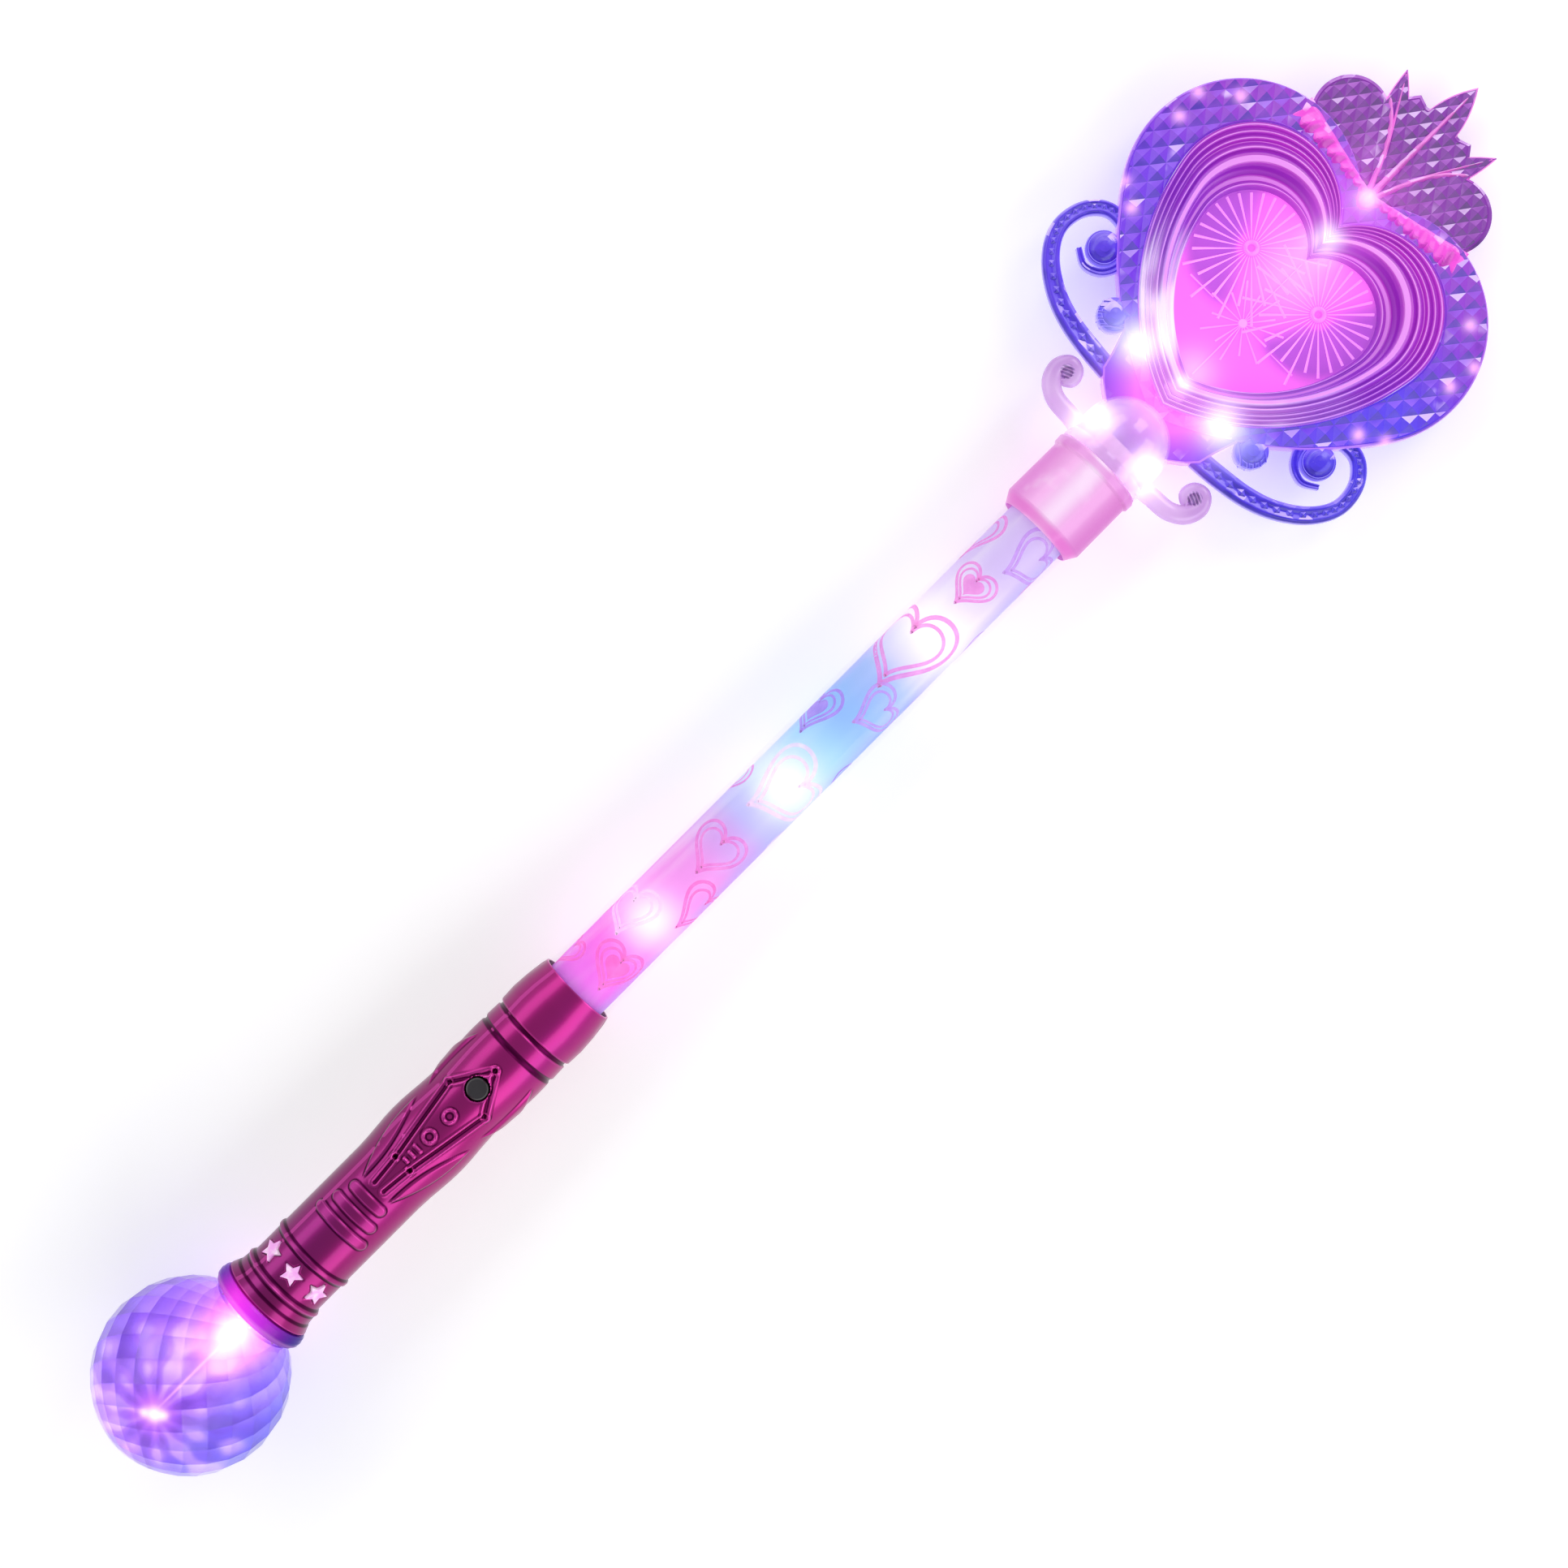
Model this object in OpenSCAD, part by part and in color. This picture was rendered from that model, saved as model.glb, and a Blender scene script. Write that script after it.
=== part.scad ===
// Toy magic wand: a lit heart head with a crown, a frosted light tube, a plated handle and a crystal ball.
// The wand lies on its back. X runs from the ball to the crown, and the front face looks up along Z.

/* [Ball] */
// Diameter of the crystal ball across the facet corners
ball_d = 49; // [42:0.5:58]
// Wall of the ball from a facet corner to the inner sphere
ball_wall = 2; // [1.6:0.1:3]
// Facets round the girth of the ball
ball_facets = 18; // [14:2:24]
// Diameter of the neck under the ball ring
neck_d = 22; // [20.5:0.5:23]
// Diameter of the clear ring between ball and handle
ball_ring_d = 26.8; // [25:0.2:30]
// Width of the clear ring along the wand
ball_ring_w = 3.8; // [3:0.1:5]

/* [Handle] */
// Length of the handle from its foot to the mouth that holds the tube
handle_len = 107.5; // [90:0.5:130]
// Diameter of the plain grip
grip_d = 21.2; // [21:0.1:23]
// Wall of the handle shells
handle_wall = 1.7; // [1.5:0.1:1.8]
// Diameter of the flared foot next to the ball ring
foot_d = 25; // [24:0.2:27]
// Height of the two swells along the grip
swell_h = 0.8; // [0.3:0.1:1.2]
// Height of the raised pads, ribs and marks
pad_h = 0.45; // [0.3:0.05:0.7]
// Width of the engraved kite line
kite_line = 0.7; // [0.5:0.1:1]
// Diameter of a star across its points
star_d = 5.8; // [4.5:0.1:6.2]
// Length of a finger rib along the wand
rib_l = 2.8; // [2:0.1:3.4]
// Distance from one finger rib to the next
rib_pitch = 4.7; // [4.2:0.1:5]
// Width of the longest finger rib across the handle
rib_w = 16; // [13:0.5:17]

/* [Button and switch] */
// Place of the button between the battery door and the tube's socket, as a share
button_place = 0.5565; // [0.53:0.005:0.58]
// Diameter of the push button
button_d = 5.4; // [4.6:0.1:5.6]
// Travel of the push button
button_travel = 0.6; // [0.4:0.1:0.6]
// How far the button stands out of the grip
button_proud = 0.25; // [0.1:0.05:0.8]
// Side of the square switch housing
switch_side = 5; // [4.5:0.1:6]
// Thickness of every circuit board
board_t = 1.2; // [1:0.1:1.4]

/* [Battery] */
// Diameter of a button cell
cell_d = 11.6; // [11:0.1:11.6]
// Height of a button cell
cell_h = 5.4; // [5:0.1:5.6]
// Button cells in the stack
cell_count = 3; // [2:1:3]
// Wall of the battery tray
tray_wall = 1; // [0.8:0.1:1.1]

/* [Screws] */
// Shank diameter of the shell screws
screw_d = 2; // [1.6:0.1:2.2]
// Head diameter of the shell screws
screw_head_d = 4; // [3.4:0.1:4.2]

/* [Tube] */
// Outside diameter of the light tube
tube_d = 19.4; // [18.6:0.1:19.6]
// Wall of the light tube
tube_wall = 1.2; // [1:0.1:1.4]
// Length of the tube seen between handle and ferrule
tube_show = 158; // [120:1:190]
// Thickness of the printed film
film_t = 0.25; // [0.2:0.05:0.4]
// Distance between the lights along the tube
tube_light_pitch = 50; // [35:1:52]

/* [Ferrule and collar] */
// Diameter of the ferrule
ferrule_d = 23.6; // [23.2:0.1:26]
// Length of the ferrule
ferrule_len = 22; // [21:0.5:30]
// Length of the collar from the ferrule to the top of its dome
collar_len = 20; // [19:0.5:20.5]
// Wall of the collar
collar_wall = 1.6; // [1.4:0.1:1.8]
// Thickness of a horn at its root
horn_t = 5; // [4:0.1:5.4]

/* [Heart] */
// Distance from the ferrule to the centres of the heart's lobes
heart_rise = 70.9; // [70.4:0.1:72]
// Radius of the lobes of the heart frame
frame_lobe_r = 29.3; // [25:0.1:33]
// Distance of the frame's lobe centres from the middle, as a share of their radius
frame_spread = 0.7475; // [0.73:0.005:0.77]
// Width of the rim between the lobes of the bezel and of the frame
rim_w = 8.3; // [7.8:0.1:9]
// Distance of the bezel's lobe centres from the middle, as a share of their radius
bezel_spread = 0.8476; // [0.83:0.005:0.87]
// Height of each heart moulding from the seam to its face
frame_z = 3.6; // [3.4:0.1:4.2]
// Wall of the heart mouldings
frame_wall = 1.6; // [1.4:0.1:1.7]
// Height of the bezel's crest above the seam
crest_z = 9; // [8:0.1:11]
// Width of a cut diamond on the heart
diamond_w = 6.6; // [5.6:0.1:7.6]
// Length of a cut diamond on the heart
diamond_l = 8.2; // [7:0.1:9]
// Height of a cut diamond
diamond_h = 1; // [0.6:0.1:1.4]
// Ribs round each large starburst
burst_ribs = 14; // [10:2:20]

/* [Crown and scrolls] */
// Height of each half of the crown from the seam to its face
crown_z = 2; // [1.6:0.1:2.6]
// Radius of the round petals
petal_r = 9.7; // [9:0.1:10]
// Length of the middle leaf above the notch of the heart
leaf_rise = 40.8; // [38:0.2:46]
// Width of a scroll arm at its root
arm_w = 5.6; // [4:0.1:6]
// Height of a scroll arm above the seam
arm_z = 2.7; // [2:0.1:3.2]
// Radius of the ball at the end of a scroll
volute_r = 4.6; // [3.8:0.1:5]

/* [Fits] */
// Gap round a loose fitting piece
slip = 0.15; // [0.1:0.05:0.2]
// Gap round a piece that moves
run_gap = 0.32; // [0.3:0.02:0.5]
// Gap between two halves along their seam
seam = 0.05; // [0.02:0.01:0.1]

/* [Hidden] */
$fn = 72;

// Stations along the wand, each from the one before it
ball_r = ball_d / 2;
neck_r = neck_d / 2;
ball_x = ball_r;
ring_x = ball_x + sqrt(ball_r * ball_r - neck_r * neck_r) + 0.35;
foot_x = ring_x + ball_ring_w + 0.1;
mouth_x = foot_x + handle_len;
ferrule_x = mouth_x + tube_show;
collar_x = ferrule_x + ferrule_len;
lobe_x = collar_x + heart_rise;

// Handle radii
grip_r = grip_d / 2;
cavity_r = grip_r - handle_wall;
tube_r = tube_d / 2;
socket_r = tube_r + 0.1;
socket_depth = 11;
mouth_r = socket_r + 0.75;
star_x = foot_x + 11.4;
band_x0 = foot_x + 7.2;
band_x1 = foot_x + 15.4;
spigot_r = cavity_r - 0.3;
lip_r = spigot_r + 1.2;
lip_x0 = foot_x + 2.5;
lip_x1 = foot_x + 4.1;
spigot_x1 = foot_x + 5.2;

// Battery bay on the back, measured from the foot
cell_r = cell_d / 2;
cell_z = -2.6;
bay_x0 = foot_x + 18.6;
cells_x0 = bay_x0 + 0.5;
cells_x1 = cells_x0 + cell_count * cell_h;
bay_x1 = cells_x1 + 2.6;
door_x0 = bay_x0 - 2.4;
door_x1 = bay_x1 + 9;
hatch_x1 = bay_x1 - 0.6;
hatch_y = cell_r + 0.25;
door_y = hatch_y + 1.3;
ledge_r = cavity_r + 0.8;
door_screw_x = door_x1 - 4;
door_pad_z = ledge_r - 1.1;
door_boss_r = 2.9;
door_screw_r = 0.9;

// The room between the battery door and the tube's socket takes two screws, the control board and the button
room = mouth_x - socket_depth - door_x1;
button_x = door_x1 + room * button_place;
board_x0 = door_x1 + room * 0.28;
board_x1 = door_x1 + room * 0.76;
screw_x = [door_x1 + room * 0.133, door_x1 + room * 0.863];
boss_r = 3;

// Button stack, heights above the axis
button_r = button_d / 2;
board_z = 3.4;
board_top = board_z + board_t;
housing_top = board_top + 1.9;
plunger_top = housing_top + button_travel + 0.2;
flange_top = plunger_top + 0.6;
flange_r = button_r + 0.7;
post_r = 1.2;
post_x = [board_x0 + 3, board_x1 - 1.5];

// Tube contents
film_r = tube_r - tube_wall - 0.08;
strip_w = 2 * (film_r - film_t - 0.25);
tube_x0 = mouth_x - socket_depth + 0.2;
tube_x1 = ferrule_x + 16.3;
light_x = [for (i = [-1:1]) mouth_x + tube_show * 0.475 + i * tube_light_pitch];

// Ferrule and collar radii
ferrule_r = ferrule_d / 2;
spigot2_r = ferrule_r - 1.4;
collar_r = ferrule_r - 0.1;

// Heart sizes that follow the frame's lobes
frame_lobe_y = frame_lobe_r * frame_spread;
frame_side_r = frame_lobe_r * 3.584;
bezel_lobe_r = frame_lobe_r - rim_w;
bezel_lobe_y = bezel_lobe_r * bezel_spread;
bezel_side_r = bezel_lobe_r * 2.857;

// Heart outline: a lobe arc, then a wide side arc that runs to the tip
function arc(c, r, from, to, n) =
  [for (i = [0:n]) let (t = from + (to - from) * i / n) c + r * [cos(t), sin(t)]];
function turned(p) = [for (i = [len(p) - 1:-1:0]) [p[i][0], -p[i][1]]];
function side_centre(y, r, turn, side_r) = [0, y] - (side_r - r) * [cos(90 + turn), sin(90 + turn)];
function half_heart(y, r, turn, side_r, n1, n2) =
  let (c = side_centre(y, r, turn, side_r), lobe = arc([0, y], r, -asin(y / r), 90 + turn, n1),
    side = arc(c, side_r, 90 + turn, 180 + asin(c[1] / side_r), n2))
  concat(lobe, [for (i = [1:n2]) side[i]]);
function whole_heart(h) = concat(h, [for (i = [len(h) - 2:-1:1]) [h[i][0], -h[i][1]]]);
frame_turn = 35;
frame_half = half_heart(frame_lobe_y, frame_lobe_r, frame_turn, frame_side_r, 15, 4);
bezel_half = half_heart(bezel_lobe_y, bezel_lobe_r, 10, bezel_side_r, 11, 5);
bezel_path = whole_heart(bezel_half);
frame_side_c = side_centre(frame_lobe_y, frame_lobe_r, frame_turn, frame_side_r);
function lobe_edge(x) = frame_lobe_y + sqrt(frame_lobe_r * frame_lobe_r - x * x);
function side_edge(x) =
  frame_side_c[1] + sqrt(frame_side_r * frame_side_r - (x - frame_side_c[0]) * (x - frame_side_c[0]));
notch_x = frame_half[0][0];
frame_tip_x = frame_half[len(frame_half) - 1][0];
bezel_tip_x = bezel_half[len(bezel_half) - 1][0];
bezel_mid_x = bezel_tip_x + bezel_lobe_r * 1.3714;
function shrink(p, k) = [bezel_mid_x + k * (p[0] - bezel_mid_x), k * p[1]];
panel_k = 0.735;
crest_k = [0.805, 0.77];

// The wand leans until the ball and the back crest both touch the ground
crest_far_x = lobe_x + bezel_mid_x + crest_k[0] * (bezel_lobe_r - bezel_mid_x);
reach = crest_far_x - ball_x;
lean = asin(ball_r / sqrt(reach * reach + crest_z * crest_z)) - atan(crest_z / reach);
tip_x = lobe_x + notch_x + leaf_rise;
centre_x = (ball_x * cos(lean) - ball_r * 0.995 + tip_x * cos(lean)) / 2;

module placed() {
  translate([-centre_x, 0, ball_r + ball_x * sin(lean)])
    rotate([0, lean, 0])
      children();
}

// A curve through points of any length, n steps from one to the next
function through(a, b, c, d, t) =
  0.5 * (2 * b + (c - a) * t + (2 * a - 5 * b + 4 * c - d) * t * t + (3 * b - a - 3 * c + d) * t * t * t);
function curve(p, n) = concat([for (i = [0:len(p) - 2]) for (k = [0:n - 1])
  through(p[max(i - 1, 0)], p[i], p[i + 1], p[min(i + 2, len(p) - 1)], k / n)], [p[len(p) - 1]]);
function unit(v) = v / norm(v);
function along(p, i) = unit(p[min(i + 1, len(p) - 1)] - p[max(i - 1, 0)]);

// Skins a row of rings that all have m corners, with flat ends
module skin(rings, m) {
  n = len(rings);
  walls = [for (i = [0:n - 2]) for (j = [0:m - 1]) each [
    [i * m + j, (i + 1) * m + (j + 1) % m, i * m + (j + 1) % m],
    [i * m + j, (i + 1) * m + j, (i + 1) * m + (j + 1) % m]]];
  polyhedron([for (r = rings) each r],
    concat(walls, [[for (j = [0:m - 1]) j]], [[for (j = [m - 1:-1:0]) (n - 1) * m + j]]), convexity = 8);
}

// A half round bead along a flat path of [x, y, half width, height]
module bead(path, m = 6) {
  xy = [for (p = path) [p[0], p[1]]];
  rings = [for (i = [0:len(path) - 1]) let (t = along(xy, i), s = [-t[1], t[0]], p = path[i])
    [for (j = [0:m]) let (a = 180 * j / m) [p[0] + s[0] * p[2] * cos(a), p[1] + s[1] * p[2] * cos(a),
      p[3] * sin(a)]]];
  skin(rings, m + 1);
}

// A round rod along a path of [x, y, z, radius]
module rod(path, m = 6) {
  xyz = [for (p = path) [p[0], p[1], p[2]]];
  rings = [for (i = [0:len(path) - 1]) let (t = along(xyz, i), s = unit([-t[1], t[0], 0]), u = cross(t, s))
    [for (j = [0:m - 1]) xyz[i] + path[i][3] * (cos(360 * j / m) * s + sin(360 * j / m) * u)]];
  skin(rings, m);
}

// Turns a profile of [x, radius] round the wand's axis
module turn(profile) {
  rotate([0, 90, 0])
    rotate_extrude()
      polygon([for (p = profile) [p[1], p[0]]]);
}

// The same over the front half or the back half only
module half_turn(profile, front) {
  rotate([0, 90, 0])
    rotate([0, 0, front ? 90 : -90])
      rotate_extrude(angle = 180)
        polygon([for (p = profile) [p[1], p[0]]]);
}

module x_rod(x0, x1, r) {
  translate([x0, 0, 0])
    rotate([0, 90, 0])
      cylinder(r = r, h = x1 - x0);
}

module z_rod(x, z0, z1, r, y = 0) {
  translate([x, y, min(z0, z1)])
    cylinder(r = r, h = abs(z1 - z0));
}

module block(x0, x1, y, z0, z1) {
  translate([x0, -y, z0])
    cube([x1 - x0, 2 * y, z1 - z0]);
}

// Crystal ball: rows of staggered corners give diamond facets, with rows closer together toward the poles
function row_lat(k) = 2 * atan(exp(k * PI / ball_facets)) - 90;
facet_rows = ceil(ball_facets * 0.48);
ball_corners = concat(
  [for (k = [-facet_rows:facet_rows]) for (j = [0:ball_facets - 1])
    let (a = row_lat(k), b = 270 + (j + (abs(k) % 2) / 2) * 360 / ball_facets)
    ball_r * [sin(a), cos(a) * cos(b), cos(a) * sin(b)]],
  [for (s = [-1, 1]) for (j = [0:8]) ball_r * [s * sin(80), cos(80) * cos(40 * j), cos(80) * sin(40 * j)]]);

module faceted_ball() {
  hull()
    polyhedron(ball_corners, [for (i = [0:3:len(ball_corners) - 3]) [i, i + 1, i + 2]]);
}

module crystal_ball() {
  color("#8a5fd0")
    placed()
      difference() {
        union() {
          translate([ball_x, 0, 0])
            faceted_ball();
          x_rod(ball_x + ball_r * 0.8, foot_x - 0.1, neck_r);
          x_rod(foot_x - 0.2, spigot_x1, spigot_r);
          x_rod(lip_x0 + slip, lip_x1 - slip, lip_r);
        }
        translate([ball_x, 0, 0])
          sphere(r = ball_r - ball_wall, $fn = 240);
        x_rod(ball_x, spigot_x1 + 1, spigot_r - 1.4);
      }
}

module ball_ring() {
  r0 = neck_r + slip;
  r1 = ball_ring_d / 2;
  w = ball_ring_w;
  color("#7a2fc0")
    placed()
      turn([[ring_x + 0.1, r0], [ring_x - 0.1, r0 + 1.2], [ring_x + 0.1, r1 - 0.7], [ring_x + w * 0.25,
        r1 - 0.1],
        [ring_x + w * 0.55, r1], [ring_x + w * 0.85, r1 - 0.3], [ring_x + w, r1 - 0.8], [ring_x + w, r0]]);
}

ball_board_x = spigot_x1 + 0.2;
ball_lead_y = 4.6;
ball_lead_z = 5;

module ball_light_board() {
  color("#e8e8e0")
    placed()
      difference() {
        x_rod(ball_board_x, ball_board_x + board_t, cavity_r - 0.3);
        for (s = [-1, 1])
          translate([0, s * ball_lead_y, ball_lead_z])
            x_rod(ball_board_x - 1, ball_board_x + board_t + 1, 1);
      }
}

module ball_light() {
  color("#fff4ff")
    placed()
      difference() {
        union() {
          x_rod(ball_board_x - 6, ball_board_x, 2.5);
          x_rod(ball_board_x - 1, ball_board_x, 2.9);
          translate([ball_board_x - 6, 0, 0])
            sphere(r = 2.5);
        }
        block(ball_board_x - 2, ball_board_x + 1, 9, 2.5, 4);
      }
}

// Five pointed star, centred, seen along Z
module star(d) {
  polygon([for (i = [0:9]) (i % 2 ? 0.5 : 1) * d / 2 * [cos(36 * i), sin(36 * i)]]);
}

// Stars round the band, none of them on the seam
front_star_turns = [-45, 0, 45];

module star_posts(turns, d, r0, r1) {
  for (t = turns)
    rotate([t, 0, 0])
      translate([star_x, 0, r0])
        linear_extrude(r1 - r0)
          star(d);
}

module star_lens_ring() {
  color("#f6c6f2")
    placed()
      union() {
        difference() {
          x_rod(band_x0, band_x1, cavity_r - slip);
          x_rod(band_x0 - 1, band_x1 + 1, cavity_r - slip - 1);
        }
        for (back = [0, 180])
          rotate([back, 0, 0])
            star_posts(front_star_turns, star_d, cavity_r - 0.9, grip_r + 0.45);
      }
}

// Outside of the handle: foot, ring, star band, ring, two swells, grooves and the cup that takes the tube
function swell(x, middle,
  half) = abs(x - middle) < half ? swell_h * (1 + cos(180 * (x - middle) / half)) / 2 : 0;
function grip_at(x) = grip_r + swell(x, mouth_x - 52, 14) + swell(x, mouth_x - 25, 15);
grip_x0 = foot_x + 17.4;
grip_x1 = mouth_x - 21.6;
grip_steps = 22;
function handle_outside(more = 0) = concat(
  [for (p = [[0, foot_d / 2 - 0.4], [0.6, foot_d / 2], [2.4, grip_r + 1.1], [3, grip_r + 0.8], [5.3,
    grip_r + 0.55],
    [6, grip_r + 0.85], [6.7, grip_r + 0.35], [7.2, grip_r], [15.4, grip_r], [15.9, grip_r + 0.5],
    [16.6, grip_r + 0.5]]) [foot_x + p[0], p[1] + more]],
  [for (i = [0:grip_steps]) let (x = grip_x0 + (grip_x1 - grip_x0) * i / grip_steps) [x,
    grip_at(x) + more]],
  [for (p = [[21, 0.3], [20.4, 0.3], [19.9, 0.75], [16.1, 0.6], [15.8, 0.1], [15, 0.1], [14.6, 0.8],
    [10.5, 1],
    [6, 0.7]]) [mouth_x - p[0], grip_r + p[1] + more]],
  [[mouth_x - 1.6, mouth_r + 0.1 + more], [mouth_x, mouth_r - 0.25 + more]]);
function handle_inside() = [[mouth_x, socket_r], [mouth_x - socket_depth, socket_r],
  [mouth_x - socket_depth, cavity_r], [lip_x1, cavity_r], [lip_x1, lip_r + slip], [lip_x0, lip_r + slip],
  [lip_x0, spigot_r + slip], [foot_x, spigot_r + slip]];

module handle_half(front) {
  s = front ? 1 : -1;
  translate([0, 0, s * seam / 2])
    half_turn(concat(handle_outside(), handle_inside()), front);
}

// Solid inside a grown handle outline, used to trim pads to the curved surface
module handle_body(more) {
  turn(concat(handle_outside(more), [[mouth_x, 0], [foot_x, 0]]));
}

// Leaf between two points, with its own bulge on either side
function leaf(p, q, left, right, n) = let (d = q - p, s = unit([-d[1], d[0]])) concat(
  [for (i = [0:n]) let (t = i / n) p + d * t + s * left * 4 * t * (1 - t)],
  [for (i = [n - 1:-1:1]) let (t = i / n) p + d * t - s * right * 4 * t * (1 - t)]);

module pill(x, w) {
  r = rib_l / 2;
  translate([x, 0])
    union() {
      square([rib_l, w - rib_l], center = true);
      for (s = [-1, 1])
        translate([0, s * (w / 2 - r)])
          circle(r = r);
    }
}

// Raised outlines on the front of the grip, laid out back from the mouth
module front_pads() {
  for (i = [0:2])
    pill(mouth_x - 70.6 - i * rib_pitch, rib_w - (2 - i) * 2.4);
  for (s = [-1, 1]) {
    polygon(leaf([mouth_x - 45.8, s * 9.2], [mouth_x - 67.6, s * 4.4], s * 1.4, s * 1.6, 8));
    polygon(leaf([mouth_x - 24.4, s * 9.4], [mouth_x - 41.4, s * 9.2], -s * 0.4, s * 2.2, 8));
  }
  for (x = [button_x - 9.4, button_x - 16.2])
    translate([x, 0])
      difference() {
        circle(r = 2);
        circle(r = 1.1);
      }
  for (i = [0:2])
    translate([button_x - 20.2 - i * 2, 0])
      square([0.9, 2.6 - i * 0.5], center = true);
}

module line_between(p, q) {
  s = unit([-(q - p)[1], (q - p)[0]]) * kite_line / 2;
  polygon([p + s, p - s, q - s, q + s]);
}

module kite_lines() {
  for (s = [-1, 1]) {
    line_between([button_x + 6.2, 0], [button_x - 4, s * 6.2]);
    line_between([button_x - 4, s * 6.2], [button_x - 25.5, s * 2.5]);
    line_between([button_x - 25.5, s * 2.5], [button_x - 33.5, s * 1.7]);
  }
}

module handle_front_shell() {
  color("#b32488")
    placed()
      difference() {
        union() {
          handle_half(true);
          intersection() {
            translate([0, 0, cavity_r * 0.35])
              linear_extrude(grip_r)
                front_pads();
            difference() {
              handle_body(pad_h);
              x_rod(foot_x - 1, mouth_x + 1, cavity_r + 0.6);
            }
          }
          for (x = screw_x)
            z_rod(x, seam / 2, cavity_r + 0.5, boss_r);
          for (x = post_x)
            z_rod(x, board_top, cavity_r + 0.5, post_r);
        }
        difference() {
          translate([0, 0, cavity_r * 0.5])
            linear_extrude(grip_r)
              kite_lines();
          handle_body(-0.4);
        }
        z_rod(button_x, 0, grip_r + 4, button_r + run_gap);
        star_posts(front_star_turns, star_d + 4 * slip, cavity_r - 2, grip_r + 2);
        for (x = screw_x)
          z_rod(x, -1, 6.6, screw_d / 2 + 0.05);
      }
}

// Ring wall between two radii over a stretch, on the back
module back_wall(x0, x1, r0, r1) {
  difference() {
    x_rod(x0, x1, r1);
    x_rod(x0 - 1, x1 + 1, r0);
  }
}

module handle_back_shell() {
  color("#a01f7a")
    placed()
      difference() {
        union() {
          handle_half(false);
          for (x = screw_x)
            z_rod(x, -seam / 2, -cavity_r - 0.5, boss_r);
          z_rod(door_screw_x, -door_pad_z + 4, -cavity_r - 0.2, 3.5);
        }
        block(bay_x0, hatch_x1, hatch_y, -grip_r - 4, -1);
        difference() {
          block(door_x0, door_x1, door_y, -grip_r - 4, -2);
          x_rod(door_x0 - 1, door_x1 + 1, ledge_r);
        }
        z_rod(door_screw_x, -door_pad_z, -grip_r - 2, door_boss_r + run_gap);
        z_rod(door_screw_x, -door_pad_z + 3.4, -grip_r - 2, door_screw_r + run_gap);
        for (x = screw_x) {
          z_rod(x, 1, -grip_r - 4, screw_d / 2 + slip);
          z_rod(x, -cavity_r + 0.4, -grip_r - 4, screw_head_d / 2 + slip);
        }
        rotate([180, 0, 0])
          star_posts(front_star_turns, star_d + 4 * slip, cavity_r - 2, grip_r + 2);
      }
}

module handle_screws() {
  color("#9a9aa2")
    placed()
      for (x = screw_x)
        difference() {
          union() {
            z_rod(x, -cavity_r + 0.35, 6, screw_d / 2);
            z_rod(x, -cavity_r + 0.35, -cavity_r - 1.1, screw_head_d / 2);
          }
          block(x - 1.3, x + 1.3, 0.3, -cavity_r - 2, -cavity_r - 0.5);
          block(x - 0.3, x + 0.3, 1.3, -cavity_r - 2, -cavity_r - 0.5);
        }
}

module battery_door() {
  color("#a01f7a")
    placed()
      difference() {
        union() {
          intersection() {
            half_turn(concat(handle_outside(), [[mouth_x, ledge_r + run_gap], [foot_x,
              ledge_r + run_gap]]), false);
            block(door_x0 + slip, door_x1 - slip, door_y - slip, -grip_r - 4, -1);
          }
          intersection() {
            back_wall(bay_x0 + slip, hatch_x1 - slip, cavity_r + 0.1, ledge_r + run_gap + 0.2);
            block(bay_x0, hatch_x1, hatch_y - slip, -grip_r, -1);
          }
          z_rod(door_screw_x, -door_pad_z - 0.05, -ledge_r - run_gap - 0.2, door_boss_r);
        }
        z_rod(door_screw_x, -2, -grip_r - 4, screw_d / 2 + slip);
        z_rod(door_screw_x, -door_pad_z - 0.9, -grip_r - 4, screw_head_d / 2 + slip);
      }
}

module battery_door_screw() {
  z = -door_pad_z - 0.95;
  color("#9a9aa2")
    placed()
      difference() {
        union() {
          z_rod(door_screw_x, z, z + 4, door_screw_r);
          z_rod(door_screw_x, z, z - 0.9, screw_head_d / 2);
        }
        block(door_screw_x - 1.3, door_screw_x + 1.3, 0.3, z - 2, z - 0.4);
        block(door_screw_x - 0.3, door_screw_x + 0.3, 1.3, z - 2, z - 0.4);
      }
}

// Trough over the cells, open toward the door
tray_in = cell_r + slip;
tray_out = tray_in + tray_wall;
tray_foot_z = -sqrt((cavity_r - 0.15) * (cavity_r - 0.15) - tray_out * tray_out);

module trough(x0, x1, r) {
  translate([0, 0, cell_z])
    x_rod(x0, x1, r);
  block(x0, x1, r, tray_foot_z, cell_z);
}

module battery_tray() {
  color("#2c2a30")
    placed()
      difference() {
        intersection() {
          trough(bay_x0 - 1.2, bay_x1 + 1.2, tray_out);
          block(bay_x0 - 2, bay_x1 + 2, tray_out + 1, tray_foot_z, cavity_r);
        }
        translate([0, 0, cell_z])
          x_rod(bay_x0, bay_x1, tray_in);
        block(bay_x0, bay_x1, tray_in, tray_foot_z - 1, cell_z);
      }
}

module button_cells() {
  color("#c9ccd2")
    placed()
      for (i = [0:cell_count - 1])
        translate([0, 0, cell_z])
          turn([[cells_x0 + i * cell_h + 0.02, 0], [cells_x0 + i * cell_h + 0.02, cell_r],
            [cells_x0 + (i + 1) * cell_h - 0.7, cell_r], [cells_x0 + (i + 1) * cell_h - 0.7, cell_r - 0.9],
            [cells_x0 + (i + 1) * cell_h - 0.02, cell_r - 0.9], [cells_x0 + (i + 1) * cell_h - 0.02, 0]]);
}

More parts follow.
